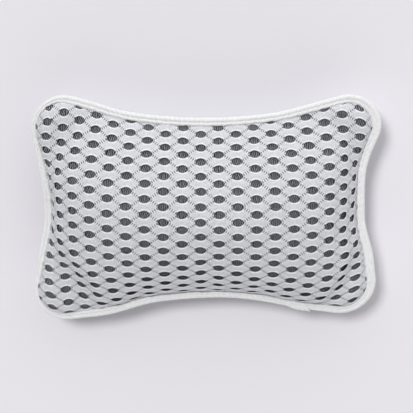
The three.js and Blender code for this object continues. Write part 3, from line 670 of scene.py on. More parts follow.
def within(tree, value, reach, edge):
    """1 where the value's size is under the reach, eased to 0 over the edge."""
    size = add_node(tree, "ShaderNodeMath", {0: value}, operation="ABSOLUTE")
    return add_node(tree, "ShaderNodeMapRange", {
        "Value": size[0], "From Min": reach - edge, "From Max": reach, "To Min": 1.0, "To Max": 0.0,
    }, interpolation_type="SMOOTHSTEP")[0]


def struts_and_gaps(tree, column, row):
    """The struts between each hole and the next ones, and the open gaps between the rungs on them,
    each 1 inside. The lattice place counted from the middle of its strut, which rises or falls by
    turns, gives the length along the strut and the distance off its line, both in millimetres."""
    whole_column = add_node(tree, "ShaderNodeMath", {0: column}, operation="FLOOR")
    whole_row = add_node(tree, "ShaderNodeMath", {0: row}, operation="FLOOR")
    turn = add_node(tree, "ShaderNodeMath", {0: whole_column[0], 1: whole_row[0]}, operation="ADD")
    falling = add_node(tree, "ShaderNodeMath", {0: turn[0], 1: 1.0}, operation="PINGPONG")
    way_up = add_node(tree, "ShaderNodeMath", {0: falling[0], 1: -2.0, 2: 1.0}, operation="MULTIPLY_ADD")
    part_column = add_node(tree, "ShaderNodeMath", {0: column}, operation="FRACT")
    part_row = add_node(tree, "ShaderNodeMath", {0: row}, operation="FRACT")
    off_column = add_node(tree, "ShaderNodeMath", {0: part_column[0], 1: 0.5}, operation="SUBTRACT")
    off_row = add_node(tree, "ShaderNodeMath", {0: part_row[0], 1: 0.5}, operation="SUBTRACT")
    mirrored = add_node(tree, "ShaderNodeMath", {0: off_column[0], 1: way_up[0]}, operation="MULTIPLY")
    run, climb = math.cos(STRUT_LEAN), math.sin(STRUT_LEAN)
    row_along = add_node(tree, "ShaderNodeMath", {0: off_row[0], 1: ROW_PITCH * climb}, operation="MULTIPLY")
    row_across = add_node(tree, "ShaderNodeMath", {0: off_row[0], 1: -ROW_PITCH * run}, operation="MULTIPLY")
    along = add_node(tree, "ShaderNodeMath", {0: mirrored[0], 1: COLUMN_PITCH * run, 2: row_along[0]},
                     operation="MULTIPLY_ADD")
    across = add_node(tree, "ShaderNodeMath", {0: mirrored[0], 1: COLUMN_PITCH * climb, 2: row_across[0]},
                      operation="MULTIPLY_ADD")
    strut = add_node(tree, "ShaderNodeMath", {
        0: within(tree, across[0], RUNG_HALF_LENGTH, STRUT_SIDE_EDGE),
        1: within(tree, along[0], STRUT_LENGTH / 2, STRUT_END_EDGE),
    }, operation="MULTIPLY")
    rungs = add_node(tree, "ShaderNodeMath", {0: along[0], 1: 1 / RUNG_PITCH, 2: 0.5},
                     operation="MULTIPLY_ADD")
    off_gap = add_node(tree, "ShaderNodeMath", {0: rungs[0], 1: 0.5}, operation="PINGPONG")
    in_gap = within(tree, off_gap[0], RUNG_GAP_SHARE / 2, RUNG_GAP_EDGE)
    gap = add_node(tree, "ShaderNodeMath", {0: strut[0], 1: in_gap}, operation="MULTIPLY")
    return strut[0], gap[0]


# Matte light knit: a fuzz of 1.3 mm mottles it, a painted highlight lies on each hole's rim where the raised
# lip catches the light, the yarn is lighter on the struts, and dark gaps between the rungs let the base
# show. The rungs are drawn slightly coarser than real.
face_knit, face_tree, face_shader = new_material(
    "light_grey_polyester_warp_knit", {"Roughness": FACE_ROUGHNESS, "Sheen Weight": FACE_SHEEN})
lattice_place = add_node(face_tree, "ShaderNodeUVMap", uv_map="lattice")[0]
lattice = add_node(face_tree, "ShaderNodeSeparateXYZ", {0: lattice_place})
struts, gaps = struts_and_gaps(face_tree, lattice[0], lattice[1])
# Share of painted highlight: the lip's strength round each hole, or the struts' lighter share
rim = add_node(face_tree, "ShaderNodeAttribute", attribute_name="lip")["Fac"]
strut_shine = add_node(face_tree, "ShaderNodeMath", {0: struts, 1: STRUT_SHINE}, operation="MULTIPLY")
lip = add_node(face_tree, "ShaderNodeMath", {0: rim, 1: strut_shine[0]}, operation="MAXIMUM")
fuzz = add_node(face_tree, "ShaderNodeTexNoise", {
    "Vector": add_node(face_tree, "ShaderNodeTexCoord")["Object"],
    "Scale": 1 / (FUZZ_SIZE * MM), "Detail": 3.0, "Roughness": 0.7,
})
fuzz_shade = add_node(face_tree, "ShaderNodeMapRange", {
    "Value": fuzz[0], "From Min": FUZZ_LOW, "From Max": FUZZ_HIGH,
    "To Min": FUZZ_DARKEST, "To Max": FUZZ_LIGHTEST,
})
yarn_with_rim_highlight = add_node(face_tree, "ShaderNodeMix", {
    "Factor": lip[0], LOW_COLOUR: linear(YARN_COLOUR), HIGH_COLOUR: linear(RIM_HIGHLIGHT_AND_STRUT_COLOUR),
}, data_type="RGBA")
laddered = add_node(face_tree, "ShaderNodeMix", {
    "Factor": gaps, LOW_COLOUR: yarn_with_rim_highlight[MIXED_COLOUR], HIGH_COLOUR: linear(RUNG_GAP_COLOUR),
}, data_type="RGBA")
fuzzed = add_node(face_tree, "ShaderNodeVectorMath",
                  {0: laddered[MIXED_COLOUR], "Scale": fuzz_shade[0]}, operation="SCALE")
face_tree.links.new(fuzzed[0], face_shader.inputs["Base Color"])
sunk = add_node(face_tree, "ShaderNodeMath", {0: gaps, 1: RUNG_GAP_SINK, 2: fuzz[0]},
                operation="MULTIPLY_ADD")
face_bump = add_node(face_tree, "ShaderNodeBump",
                     {"Height": sunk[0], "Strength": FACE_BUMP, "Distance": FACE_RELIEF * MM})
face_tree.links.new(face_bump[0], face_shader.inputs["Normal"])

table_rate_x = np.hypot(1, table_slope_x) / (1 + LENGTH_STRETCH * (table_rise / CROWN - 1))
table_rate_y = np.hypot(1, table_slope_y) / (1 + CROSS_STRETCH * (table_rise / CROWN - 1))


def running_length(rate, axis):
    """Cloth length from the centre line to each table place: the rate's running trapezoid sum."""
    half = rate.shape[axis] // 2
    total = np.cumsum(rate, axis=axis) - (rate + np.take(rate, [0], axis=axis)) / 2
    return (total - np.take(total, [half], axis=axis)) * TABLE_STEP


cloth_x = running_length(table_rate_x, 0)
cloth_y = running_length(table_rate_y, 1)
for sides, (pull_x, pull_y) in KNIT_DRAWS.items():
    corner = corner_share(*table_places, *sides, KNIT_CORNER_START)
    cloth_x += pull_x * corner
    cloth_y += pull_y * corner


def plan_of_cloth(along, up):
    """Plan place of a place on the flat cloth: Newton steps on the running lengths, both at once."""
    x, y = PLAN_GUESS * along, PLAN_GUESS * up
    for _ in range(NEWTON_STEPS):
        x = x + NEWTON_SHARE * (along - look_up(cloth_x, x, y)) / look_up(table_rate_x, x, y)
        y = y + NEWTON_SHARE * (up - look_up(cloth_y, x, y)) / look_up(table_rate_y, x, y)
    return x, y


def hole_cell():
    """One hole's cell on the flat cloth, in column and row pitches: rings from the hole's rim, a
    rounded oval, out to the diamond whose corners are the middles of the plain fields around it."""
    step = np.arange(EDGE_STEPS) / EDGE_STEPS
    edge = np.stack([1 - step, step], 1)
    rotate = np.array([[0, 1], [-1, 0]])
    border = np.concatenate([edge, edge @ rotate, -edge, -edge @ rotate])
    half = np.array([HOLE_HALF_LENGTH / COLUMN_PITCH, HOLE_HALF_HEIGHT / ROW_PITCH])
    power = np.where(border[:, :1] > 0, HOLE_POINTED_POWER, HOLE_BLUNT_POWER)
    oval = border / (np.abs(border / half) ** power).sum(1, keepdims=True) ** (1 / power)
    share = (np.linspace(0, 1, HOLE_RINGS) ** HOLE_RING_CROWDING)[:, None, None]
    return oval + share * (border - oval)


def face_net():
    """The net: every cell's rings laid on the cloth, shared corners merged, the cloth laid on the
    crown, and what runs past the sewn edge drawn back to it. A lip stands round each hole, and the
    plain diamonds swell. Also returns the lattice place and lip strength of every point."""
    cell = hole_cell()
    columns, rows = np.meshgrid(np.arange(-COLUMNS_EACH_WAY, COLUMNS_EACH_WAY + 1),
                                np.arange(-ROWS_EACH_WAY, ROWS_EACH_WAY + 1), indexing="ij")
    holes = np.stack([columns, rows], -1)[(columns + rows) % 2 == 0]
    spots = holes[:, None, None, :] + cell
    cell_points = cell.shape[0] * cell.shape[1]
    quads = np.arange(len(holes))[:, None, None] * cell_points + grid_faces(*cell.shape[:2], closed=True)
    rim_run = np.linalg.norm((cell - cell[:1]) * [COLUMN_PITCH, ROW_PITCH], axis=-1)
    run = np.broadcast_to(rim_run, spots.shape[:3]).reshape(-1)
    flat = spots.reshape(-1, 2)
    keys = np.round(flat * MERGE_SCALE).astype(int)
    _, first, merged = np.unique(keys, axis=0, return_index=True, return_inverse=True)
    flat, run, quads = flat[first], run[first], merged.reshape(-1)[quads.reshape(-1, 4)]
    x, y = plan_of_cloth(flat[:, 0] * COLUMN_PITCH + COLUMN_SHIFT, flat[:, 1] * ROW_PITCH + ROW_SHIFT)
    inward = distance_inside(x, y)
    flange = FLANGE_RUN * edge_share(x, y)
    quads = quads[((inward + flange)[quads] > 0).any(1)]
    lean_x = distance_inside(x + LEAN_STEP, y) - distance_inside(x - LEAN_STEP, y)
    lean_y = distance_inside(x, y + LEAN_STEP) - distance_inside(x, y - LEAN_STEP)
    short = np.maximum(-flange - inward, 0) / (2 * LEAN_STEP)
    x, y = x + short * lean_x, y + short * lean_y
    rising, falling = flat.sum(1) / 2, (flat[:, 0] - flat[:, 1]) / 2
    lip_share = np.exp(-((run - LIP_RUN) / LIP_RUN) ** 2)
    puff = (np.sin(math.pi * rising) * np.sin(math.pi * falling)) ** 2
    fade = np.clip(inward / RELIEF_RUN, 0, 1)
    points = front_surface(x, y, -fade * (LIP_RISE * lip_share + DIAMOND_PUFF * puff))
    used, quads = np.unique(quads, return_inverse=True)
    return points[used], quads.reshape(-1, 4), flat[used], lip_share[used]


net_points, net_quads, net_lattice, net_lip = face_net()
face = add_piece("spacer_mesh_face_knit", net_points, net_quads.tolist(), face_knit)
face_uv = face.data.uv_layers.new(name="lattice")
face_uv.data.foreach_set("uv", net_lattice[net_quads.reshape(-1)].astype(np.float32).reshape(-1))
face_lip = face.data.attributes.new("lip", "FLOAT", "POINT")
face_lip.data.foreach_set("value", net_lip.astype(np.float32))
face_wall = face.modifiers.new("cloth_thickness", "SOLIDIFY")
face_wall.thickness = FACE_THICKNESS * MM
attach(face, "pillow")
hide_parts("front_mesh_face")

# Back panel: a plain white polyester knit, stretched over the back of the fill and sewn into the
# same binding. Four round openings are punched in it for the eyelets.
CUP_X = 88.0
CUP_Y = 42.0
CUP_PLACES = ((CUP_X, CUP_Y), (-CUP_X, CUP_Y), (-CUP_X, -CUP_Y), (CUP_X, -CUP_Y))
BACK_THICKNESS = 0.8
BACK_RINGS = 36
BACK_OPENING = 5.3
OPENING_MARGIN = 1.5
RIB_PITCH = 1.8
RIB_WAVER = 0.6
RIB_WAVER_SCALE = 2.0
RIB_BUMP = 0.5
RIB_RELIEF = 0.4
BACK_COLOUR = "DEDFE2"
BACK_RIB_COLOUR = "C3C5CA"
BACK_ROUGHNESS = 0.9
BACK_SHEEN = 0.1
# A wave texture of scale 1 repeats at this distance
WAVE_PERIOD = math.pi / 10

# Matte plain knit with fine upright ribs, drawn coarser than the real ones of about 1 mm, so they show
back_knit, back_tree, back_shader = new_material(
    "white_polyester_plain_knit", {"Roughness": BACK_ROUGHNESS, "Sheen Weight": BACK_SHEEN})
back_ribs = add_node(back_tree, "ShaderNodeTexWave", {
    "Vector": add_node(back_tree, "ShaderNodeTexCoord")["Object"],
    "Scale": WAVE_PERIOD / (RIB_PITCH * MM), "Distortion": RIB_WAVER, "Detail Scale": RIB_WAVER_SCALE,
}, wave_profile="SIN")["Fac"]
back_colour = add_node(back_tree, "ShaderNodeMix", {
    "Factor": back_ribs, LOW_COLOUR: linear(BACK_RIB_COLOUR), HIGH_COLOUR: linear(BACK_COLOUR),
}, data_type="RGBA")
back_tree.links.new(back_colour[MIXED_COLOUR], back_shader.inputs["Base Color"])
back_bump = add_node(back_tree, "ShaderNodeBump",
                     {"Height": back_ribs, "Strength": RIB_BUMP, "Distance": RIB_RELIEF * MM})
back_tree.links.new(back_bump[0], back_shader.inputs["Normal"])


def back_sheet():
    """The back's height over the plan, with faces left out where an eyelet's barrel passes and the
    corners round each gap drawn onto a circle. Faces are turned to look down."""
    plan, faces = dish(crowded(BACK_RINGS, RING_CROWDING), SEWN_INSETS)
    points = drawn(np.column_stack([plan, back_height(plan[:, 0], plan[:, 1])]))
    fan = np.array(faces[:stations])
    quads = np.array(faces[stations:])
    for place in CUP_PLACES:
        inside = np.hypot(*(plan[quads].mean(1) - place).T) < BACK_OPENING + OPENING_MARGIN
        opening_rim = np.intersect1d(quads[inside], quads[~inside])
        quads = quads[~inside]
        away = plan[opening_rim] - place
        away /= np.linalg.norm(away, axis=1, keepdims=True)
        points[opening_rim, :2] = place + BACK_OPENING * away
    used, corners = np.unique(quads[:, ::-1], return_inverse=True)
    renumber = np.full(len(points), -1)
    renumber[used] = np.arange(len(used))
    points = np.concatenate([points[used], points[:1]])
    renumber[0] = len(used)
    return points, renumber[fan[:, ::-1]].tolist() + corners.reshape(-1, 4).tolist()


back = add_piece("plain_knit_back_panel", *back_sheet(), back_knit)
back_wall = back.modifiers.new("cloth_thickness", "SOLIDIFY")
back_wall.thickness = BACK_THICKNESS * MM
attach(back, "pillow")
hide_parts("back_panel")

# Eyelets and washers: two-part snap eyelets moulded in white polypropylene. The eyelet is pushed
# through the back from outside, and the washer is pressed over its barrel, under a turned-out lip.
TURN_STEPS = 64
BORE_RADIUS = 4.0
BARREL_RADIUS = 5.0
WASHER_HOLE_RADIUS = 5.3
LIP_RADIUS = 6.2
EYELET_RADIUS = 8.5
EYELET_BOTTOM = 11.7
EYELET_FLANGE_TOP = 12.7
WASHER_BOTTOM = 14.1
WASHER_TOP = 15.0
EYELET_LIP_BOTTOM = 15.3
EYELET_TOP = 15.9
EYELET_ROUNDING = 0.35
WASHER_ROUNDING = 0.3
MOST_ROUNDED_SHARE = 0.4
EYELET_GRAIN = 1.2
GRAIN_BUMP = 0.15
GRAIN_RELIEF = 0.2
EYELET_COLOUR = "EDEDEB"
EYELET_SHADE_COLOUR = "E4E4E1"
EYELET_ROUGHNESS = 0.42
POLYPROPYLENE_IOR = 1.49

# Satin white plastic with a faint moulded grain of 1.2 mm, coarser than real so that it shows at all
eyelet_plastic, eyelet_tree, eyelet_shader = new_material(
    "moulded_white_polypropylene", {"Roughness": EYELET_ROUGHNESS, "IOR": POLYPROPYLENE_IOR})
grain = add_node(eyelet_tree, "ShaderNodeTexNoise", {
    "Vector": add_node(eyelet_tree, "ShaderNodeTexCoord")["Object"],
    "Scale": 1 / (EYELET_GRAIN * MM), "Detail": 2.0,
})
eyelet_colour = add_node(eyelet_tree, "ShaderNodeMix", {
    "Factor": grain[0], LOW_COLOUR: linear(EYELET_SHADE_COLOUR), HIGH_COLOUR: linear(EYELET_COLOUR),
}, data_type="RGBA")
eyelet_tree.links.new(eyelet_colour[MIXED_COLOUR], eyelet_shader.inputs["Base Color"])
eyelet_bump = add_node(eyelet_tree, "ShaderNodeBump",
                       {"Height": grain[0], "Strength": GRAIN_BUMP, "Distance": GRAIN_RELIEF * MM})
eyelet_tree.links.new(eyelet_bump[0], eyelet_shader.inputs["Normal"])


def softened(profile, radius):
    """The profile with each corner between its ends replaced by three points of a small curve, which
    leaves its sides at most the radius, or a set share of a side, away from the corner."""
    profile = np.array(profile, float)
    before, corner, after = profile[:-2], profile[1:-1], profile[2:]
    back_way, on_way = before - corner, after - corner
    back_run = np.linalg.norm(back_way, axis=1, keepdims=True)
    on_run = np.linalg.norm(on_way, axis=1, keepdims=True)
    start = corner + back_way / back_run * np.minimum(radius, MOST_ROUNDED_SHARE * back_run)
    end = corner + on_way / on_run * np.minimum(radius, MOST_ROUNDED_SHARE * on_run)
    bend = np.stack([start, (start + 2 * corner + end) / 4, end], 1).reshape(-1, 2)
    return np.concatenate([profile[:1], bend, profile[-1:]])


def turned(profile, place):
    """A profile of radius and height carried round an upright axis at the place. A profile that ends
    where it starts makes a ring, and one that starts and ends on the axis makes a closed solid."""
    ring_like = profile[0, 0] > 0
    rings = profile[:-1] if ring_like else profile[1:-1]
    turn = np.linspace(0, 2 * math.pi, TURN_STEPS, endpoint=False)
    x = place[0] + rings[:, :1] * np.cos(turn)
    y = place[1] + rings[:, :1] * np.sin(turn)
    z = np.broadcast_to(rings[:, 1:], x.shape)
    points = np.stack([x, y, z], -1).reshape(-1, 3)
    if ring_like:
        round_again = grid_faces(len(rings) + 1, TURN_STEPS, closed=True, flipped=True) % len(points)
        return points, round_again.tolist()
    quads = grid_faces(len(rings), TURN_STEPS, closed=True, flipped=True).tolist()
    poles = np.column_stack([np.tile(place, (2, 1)), profile[[0, -1], 1]])
    spot = np.arange(TURN_STEPS)
    after = np.roll(spot, -1)
    low, high = len(points), len(points) + 1
    last = low - TURN_STEPS
    fans = np.concatenate([np.stack([np.full(TURN_STEPS, low), after, spot], 1),
                           np.stack([np.full(TURN_STEPS, high), last + spot, last + after], 1)])
    return np.concatenate([points, poles]), quads + fans.tolist()


eyelet_waist = (BORE_RADIUS, (EYELET_BOTTOM + EYELET_TOP) / 2)
eyelet_profile = softened([
    eyelet_waist, (BORE_RADIUS, EYELET_BOTTOM), (EYELET_RADIUS, EYELET_BOTTOM),
    (EYELET_RADIUS, EYELET_FLANGE_TOP), (BARREL_RADIUS, EYELET_FLANGE_TOP),
    (BARREL_RADIUS, EYELET_LIP_BOTTOM), (LIP_RADIUS, EYELET_LIP_BOTTOM), (LIP_RADIUS, EYELET_TOP),
    (BORE_RADIUS, EYELET_TOP), eyelet_waist,
], EYELET_ROUNDING)
washer_waist = (WASHER_HOLE_RADIUS, (WASHER_BOTTOM + WASHER_TOP) / 2)
washer_profile = softened([
    washer_waist, (WASHER_HOLE_RADIUS, WASHER_BOTTOM), (EYELET_RADIUS, WASHER_BOTTOM),
    (EYELET_RADIUS, WASHER_TOP), (WASHER_HOLE_RADIUS, WASHER_TOP), washer_waist,
], WASHER_ROUNDING)
for number, place in enumerate(CUP_PLACES, 1):
    eyelet = add_piece(f"snap_eyelet_{number}", *turned(eyelet_profile, place), eyelet_plastic)
    washer = add_piece(f"snap_washer_{number}", *turned(washer_profile, place), eyelet_plastic)
    for piece, node in ((eyelet, f"eyelet_{number}"), (washer, f"eyelet_washer_{number}")):
        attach(piece, "pillow")
        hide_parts(node)

# Suction cups: moulded in one piece of clear soft vinyl, with a mushroom head that is pushed through
# the eyelet, so the cup can turn in it. A ribbed tab on the rim is pulled to let the cup go.
CUP_RADIUS = 21.0
CUP_RIM_WIDTH = 2.0
CUP_RIM_THICKNESS = 1.2
CUP_HOLLOW = 5.5
SHOULDER_RADIUS = 6.0
SHOULDER_BOTTOM = 9.4
CUP_HEIGHT = 11.4
NECK_RADIUS = 3.5
HEAD_BOTTOM = 16.2
HEAD_RADIUS = 5.8
HEAD_EDGE = 1.1
HEAD_CAP_RADIUS = 4.0
HEAD_CAP_HEIGHT = 18.9
HEAD_TOP = 19.4
DOME_SWELL = 0.8
DOME_STEPS = 12
CUP_ROUNDING = 0.5
TAB_WIDTH = 9.0
TAB_LENGTH = 8.0
TAB_THICKNESS = 1.4
TAB_LIFT = 0.5
TAB_RIB_PITCH = 1.4
TAB_RIB_RISE = 0.12
TAB_SIDE_STEPS = 13
TAB_END_STEPS = 9
TAB_TURN_STEPS = 20
TAB_SQUARENESS = 0.5
TAB_LEAST_WIDTH = 0.02
# The ribs lie on the upper side, where the sine of the section's turn is over this
TAB_UPPER_SINE = 0.5
VINYL_HAZE = 6.0
VINYL_COLOUR = "EAF3F5"
VINYL_HAZE_COLOUR = "DCE9ED"
VINYL_SMOOTHEST = 0.08
VINYL_ROUGHEST = 0.2
VINYL_IOR = 1.53
VINYL_CLEARNESS = 0.7

# Clear, faintly blue, glossy vinyl with a slight haze in blotches of 6 mm that dulls the gloss
cup_vinyl, cup_tree, cup_shader = new_material(
    "moulded_clear_soft_vinyl", {"IOR": VINYL_IOR, "Transmission Weight": VINYL_CLEARNESS})
haze = add_node(cup_tree, "ShaderNodeTexNoise", {
    "Vector": add_node(cup_tree, "ShaderNodeTexCoord")["Object"],
    "Scale": 1 / (VINYL_HAZE * MM), "Detail": 3.0,
})
cup_colour = add_node(cup_tree, "ShaderNodeMix", {
    "Factor": haze[0], LOW_COLOUR: linear(VINYL_HAZE_COLOUR), HIGH_COLOUR: linear(VINYL_COLOUR),
}, data_type="RGBA")
cup_tree.links.new(cup_colour[MIXED_COLOUR], cup_shader.inputs["Base Color"])
cup_gloss = add_node(cup_tree, "ShaderNodeMapRange",
                     {"Value": haze[0], "To Min": VINYL_SMOOTHEST, "To Max": VINYL_ROUGHEST})
cup_tree.links.new(cup_gloss[0], cup_shader.inputs["Roughness"])

dome_share = np.linspace(0, 1, DOME_STEPS)
dome_radius = CUP_RADIUS - (CUP_RADIUS - SHOULDER_RADIUS) * dome_share
dome_height = CUP_RIM_THICKNESS + (SHOULDER_BOTTOM - CUP_RIM_THICKNESS) * dome_share ** DOME_SWELL
cup_profile = softened(np.concatenate([
    np.column_stack([(CUP_RADIUS - CUP_RIM_WIDTH) * dome_share, CUP_HOLLOW * (1 - dome_share ** 2)]),
    [(CUP_RADIUS, 0.0)],
    np.column_stack([dome_radius, dome_height]),
    [(SHOULDER_RADIUS, CUP_HEIGHT), (NECK_RADIUS, CUP_HEIGHT), (NECK_RADIUS, HEAD_BOTTOM),
     (HEAD_RADIUS, HEAD_BOTTOM), (HEAD_RADIUS, HEAD_BOTTOM + HEAD_EDGE), (HEAD_CAP_RADIUS, HEAD_CAP_HEIGHT),
     (0.0, HEAD_TOP)],
]), CUP_ROUNDING)


def squared(wave):
    """A sine or cosine made squarer by a power, with its sign kept."""
    return np.sign(wave) * np.abs(wave) ** TAB_SQUARENESS


def pull_tab(place, way):
    """A flat tab that starts inside the rim: rounded sections of the tab's width, which closes as a
    half circle at the end, with a ripple along the upper side for grip."""
    turn = np.linspace(0, 2 * math.pi, TAB_TURN_STEPS, endpoint=False)
    end = CUP_RADIUS + TAB_LENGTH - TAB_WIDTH / 2
    start = CUP_RADIUS - CUP_RIM_WIDTH / 2
    bend = np.linspace(0, math.pi / 2, TAB_END_STEPS)
    straight = np.linspace(start, end, TAB_SIDE_STEPS, endpoint=False)
    along = np.concatenate([straight, end + TAB_WIDTH / 2 * np.sin(bend)])
    closing = np.maximum(np.cos(bend), TAB_LEAST_WIDTH)
    half = TAB_WIDTH / 2 * np.concatenate([np.ones(TAB_SIDE_STEPS), closing])
    across = half[:, None] * squared(np.cos(turn))
    on_top = np.sin(turn) > TAB_UPPER_SINE
    ripple = TAB_RIB_RISE * np.sin(2 * math.pi * along / TAB_RIB_PITCH)[:, None] * on_top
    x = place[0] + way * np.broadcast_to(along[:, None], across.shape)
    y = place[1] + way * across
    z = TAB_LIFT + TAB_THICKNESS / 2 * (1 + squared(np.sin(turn))) + ripple
    points = np.stack([x, y, z], -1).reshape(-1, 3)
    first_end = np.arange(TAB_TURN_STEPS)
    last_end = len(points) - TAB_TURN_STEPS + first_end
    quads = grid_faces(len(along), TAB_TURN_STEPS, closed=True, flipped=True).tolist()
    return points, quads + [first_end[::-1].tolist(), last_end.tolist()]


for number, place in enumerate(CUP_PLACES, 1):
    cup_points, cup_faces = turned(cup_profile, place)
    tab_points, tab_faces = pull_tab(place, math.copysign(1, place[0]))
    tab_faces = [[len(cup_points) + corner for corner in face] for face in tab_faces]
    cup = add_piece(f"clear_suction_cup_{number}", np.concatenate([cup_points, tab_points]),
                    cup_faces + tab_faces, cup_vinyl)
    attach(cup, f"cup_{number}")
    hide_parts(f"suction_cup_{number}")

# Edge binding: a white woven polyester tape, folded over the raw edges of all the cloths and sewn
# through them. Its end is laid over its start at the lower right and cut on a slant.
SEAM_MIDDLE = 36.55
TAPE_THICKNESS = 0.8
BINDING_WIDTH = 6.5
TAPE_STEP = 0.9
LAP_X = 83.0
LAP_LENGTH = 14.0
LAP_CLIMB = 9.0
LAP_SLANT = 6.0
LAP_OUT = 1.5
LAP_LIFT = 1.1
# Section of the tape from its edge, which spreads past its width onto the knit, over the dip of the
# stitching to the fold: how far each point lies inside the seam, and how far over its middle height
TAPE_INSETS = (7.7, 7.45, 6.8, 5.6, 4.8, 4.2, 3.6, 2.7, 1.6, 0.7, 0.15, 0.0)
TAPE_RISES = (1.75, 2.20, 2.70, 2.75, 2.35, 1.75, 2.15, 2.45, 2.30, 1.75, 0.90, 0.0)
# Two waves that pucker the tape: how far, how long and how far on each starts
TAPE_PUCKERS = ((0.16, 7.3, 0.0), (0.14, 11.9, 1.0))
PUCKER_RISE = 0.5
STITCH_INSET = 4.2
STITCH_RISE = 2.0
STITCH_DIP = 0.3
STITCH_PITCH = 3.4
STITCH_LENGTH = 2.5
# Rings of one stitch: their places as shares of half its length, and their widths
STITCH_SHARES = (-1.0, -0.75, 0.0, 0.75, 1.0)
STITCH_SWELLS = (0.15, 0.8, 1.0, 0.8, 0.15)
THREAD_RADIUS = 0.24
THREAD_SIDES = 6
THREAD_TWIST = 0.6
THREAD_COLOUR = "F4F4F2"
# Painted shade of the thread's twist
THREAD_PAINTED_SHADE_COLOUR = "DCDCDA"
THREAD_ROUGHNESS = 0.7
TAPE_RIB_PITCH = 1.1
TAPE_RIB_WAVER = 1.5
TAPE_RIB_WAVER_SCALE = 1.5
TAPE_CREASE_SIZE = 2.8
# Sums of rib and crease at which the tape is darkest and lightest
TAPE_DARKEST_AT = 0.5
TAPE_LIGHTEST_AT = 1.4
TAPE_BUMP = 0.6
TAPE_RELIEF = 0.6
TAPE_COLOUR = "FAFAFA"
# Darker tone between the woven ribs, and painted shade in the tape's creases
TAPE_WEAVE_TONE_AND_SHADE_COLOUR = "D9D9DC"
TAPE_ROUGHNESS = 0.85
TAPE_SHEEN = 0.1

# Matte white tape with woven ribs across it, drawn coarser than the real weave, and small creases of
# about 3 mm where it is folded and sewn. Its colour darkens between the ribs, the weave's own tone, and in
# the creases as painted shade. Its own map runs along and across it in millimetres.
tape_cloth, tape_tree, tape_shader = new_material(
    "white_woven_polyester_tape", {"Roughness": TAPE_ROUGHNESS, "Sheen Weight": TAPE_SHEEN})
tape_place = add_node(tape_tree, "ShaderNodeUVMap", uv_map="tape")[0]
tape_ribs = add_node(tape_tree, "ShaderNodeTexWave", {
    "Vector": tape_place, "Scale": WAVE_PERIOD / TAPE_RIB_PITCH,
    "Distortion": TAPE_RIB_WAVER, "Detail Scale": TAPE_RIB_WAVER_SCALE,
}, wave_profile="SIN")["Fac"]
tape_creases = add_node(tape_tree, "ShaderNodeTexNoise",
                        {"Vector": tape_place, "Scale": 1 / TAPE_CREASE_SIZE, "Detail": 3.0})
tape_rough = add_node(tape_tree, "ShaderNodeMath", {0: tape_ribs, 1: tape_creases[0]}, operation="ADD")
tape_light = add_node(tape_tree, "ShaderNodeMapRange",
                      {"Value": tape_rough[0], "From Min": TAPE_DARKEST_AT, "From Max": TAPE_LIGHTEST_AT})
tape_colour = add_node(tape_tree, "ShaderNodeMix", {
    "Factor": tape_light[0], LOW_COLOUR: linear(TAPE_WEAVE_TONE_AND_SHADE_COLOUR), HIGH_COLOUR: linear(TAPE_COLOUR),
}, data_type="RGBA")
tape_tree.links.new(tape_colour[MIXED_COLOUR], tape_shader.inputs["Base Color"])
tape_bump = add_node(tape_tree, "ShaderNodeBump",
                     {"Height": tape_rough[0], "Strength": TAPE_BUMP, "Distance": TAPE_RELIEF * MM})
tape_tree.links.new(tape_bump[0], tape_shader.inputs["Normal"])

closed_seam = np.concatenate([seam, seam[:1]])
closed_outward = np.concatenate([seam_outward, seam_outward[:1]])
seam_run = np.append(0, np.cumsum(np.linalg.norm(np.diff(closed_seam, axis=0), axis=1)))
seam_length = seam_run[-1]
on_low_side = (closed_seam[:, 1] < 0) & (np.abs(closed_seam[:, 0]) < ear_x)
tape_start = np.interp(LAP_X, closed_seam[on_low_side, 0], seam_run[on_low_side])
tape_end = tape_start + seam_length + LAP_LENGTH


def on_tape(run, inset, rise):
    """A place on the tape: the seam's point at the run, moved in by the inset and off the seam's middle
    height by the rise. Near the end the tape eases outwards and up over its own start."""
    at = np.mod(run, seam_length)
    x, y = (np.interp(at, seam_run, axis) for axis in closed_seam.T)
    out_x, out_y = (np.interp(at, seam_run, axis) for axis in closed_outward.T)
    climb = eased((run - (tape_end - LAP_LENGTH - LAP_CLIMB)) / LAP_CLIMB)
    pucker = sum(far * np.sin(2 * math.pi * run / size + on) for far, size, on in TAPE_PUCKERS)
    inward = inset * edge_share(x, y) - LAP_OUT * climb * np.clip(1 - inset / BINDING_WIDTH, 0, 1)
    inward = inward + pucker * inset / BINDING_WIDTH
    height = rise + np.sign(rise) * (LAP_LIFT * climb + PUCKER_RISE * pucker)
    return drawn(np.stack([x - inward * out_x, y - inward * out_y, SEAM_MIDDLE + height], -1))


def tape_strip():
    """The tape's section, a fold that is pressed in along the stitching, carried along the seam from
    its start once round and on over the lap, where the far end is slanted. Also returns the faces and
    each point's place along and across the tape."""
    inset = np.array(TAPE_INSETS + TAPE_INSETS[-2::-1])
    rise = np.array(TAPE_RISES + tuple(-level for level in TAPE_RISES[-2::-1]))
    run = np.linspace(tape_start, tape_end, int((tape_end - tape_start) / TAPE_STEP))[:, None]
    over_lap = np.clip((run - (tape_end - LAP_LENGTH)) / LAP_LENGTH, 0, 1)
    run = run - over_lap * LAP_SLANT * inset / BINDING_WIDTH
    points = on_tape(run, np.broadcast_to(inset, run.shape), np.broadcast_to(rise, run.shape))
    across = np.append(0, np.cumsum(np.hypot(np.diff(inset), np.diff(rise))))
    laid = np.stack([run, np.broadcast_to(across, run.shape)], -1).reshape(-1, 2)
    return points.reshape(-1, 3), grid_faces(*run.shape, closed=False, flipped=True), laid


tape_points, tape_quads, tape_laid = tape_strip()
binding = add_piece("folded_edge_binding", tape_points, tape_quads.tolist(), tape_cloth)
tape_uv = binding.data.uv_layers.new(name="tape")
tape_uv.data.foreach_set("uv", tape_laid[tape_quads.reshape(-1)].astype(np.float32).reshape(-1))
tape_wall = binding.modifiers.new("tape_thickness", "SOLIDIFY")
tape_wall.thickness = TAPE_THICKNESS * MM
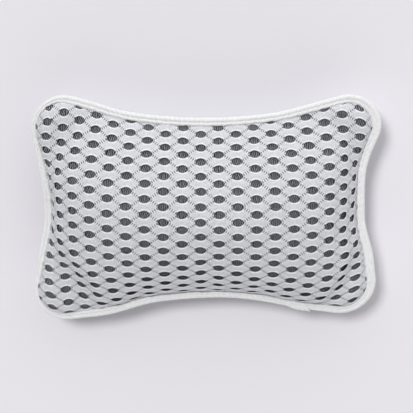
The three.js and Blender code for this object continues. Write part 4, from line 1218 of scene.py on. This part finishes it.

# White sewing thread, a little smoother than the tape, whose twist of 0.6 mm is shown as painted light and
# shade
thread, thread_tree, thread_shader = new_material(
    "white_polyester_sewing_thread", {"Roughness": THREAD_ROUGHNESS})
twist = add_node(thread_tree, "ShaderNodeTexNoise", {
    "Vector": add_node(thread_tree, "ShaderNodeTexCoord")["Object"], "Scale": 1 / (THREAD_TWIST * MM),
})
thread_colour = add_node(thread_tree, "ShaderNodeMix", {
    "Factor": twist[0], LOW_COLOUR: linear(THREAD_PAINTED_SHADE_COLOUR), HIGH_COLOUR: linear(THREAD_COLOUR),
}, data_type="RGBA")
thread_tree.links.new(thread_colour[MIXED_COLOUR], thread_shader.inputs["Base Color"])


def stitch_row(side):
    """One row of lock stitches on the front or back of the tape: short six-sided threads that are
    thickest in the middle and dip into the tape at both ends."""
    middles = np.arange(tape_start + STITCH_PITCH, tape_end - LAP_SLANT, STITCH_PITCH)
    share = np.array(STITCH_SHARES)
    run = middles[:, None] + share * STITCH_LENGTH / 2
    level = side * (STITCH_RISE - STITCH_DIP * share ** 2)
    line = on_tape(run, np.full_like(run, STITCH_INSET), np.broadcast_to(level, run.shape))
    along = np.gradient(line, axis=1)
    along /= np.linalg.norm(along, axis=-1, keepdims=True)
    up = np.broadcast_to([0.0, 0.0, 1.0], along.shape)
    beside = np.cross(along, up)
    turn = np.linspace(0, 2 * math.pi, THREAD_SIDES, endpoint=False)[:, None]
    radius = THREAD_RADIUS * np.array(STITCH_SWELLS)[:, None, None]
    tube = line[:, :, None] + radius * (np.cos(turn) * beside[:, :, None] + np.sin(turn) * up[:, :, None])
    quads = grid_faces(len(share), THREAD_SIDES, closed=True)
    offsets = np.arange(len(middles))[:, None, None] * len(share) * THREAD_SIDES
    return tube.reshape(-1, 3), (offsets + quads).reshape(-1, 4)


front_points, front_quads = stitch_row(1)
behind_points, behind_quads = stitch_row(-1)
stitching = add_piece("binding_stitching", np.concatenate([front_points, behind_points]),
                      np.concatenate([front_quads, behind_quads + len(front_points)]).tolist(), thread)
for piece in (binding, stitching):
    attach(piece, "pillow")
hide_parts("edge_binding")
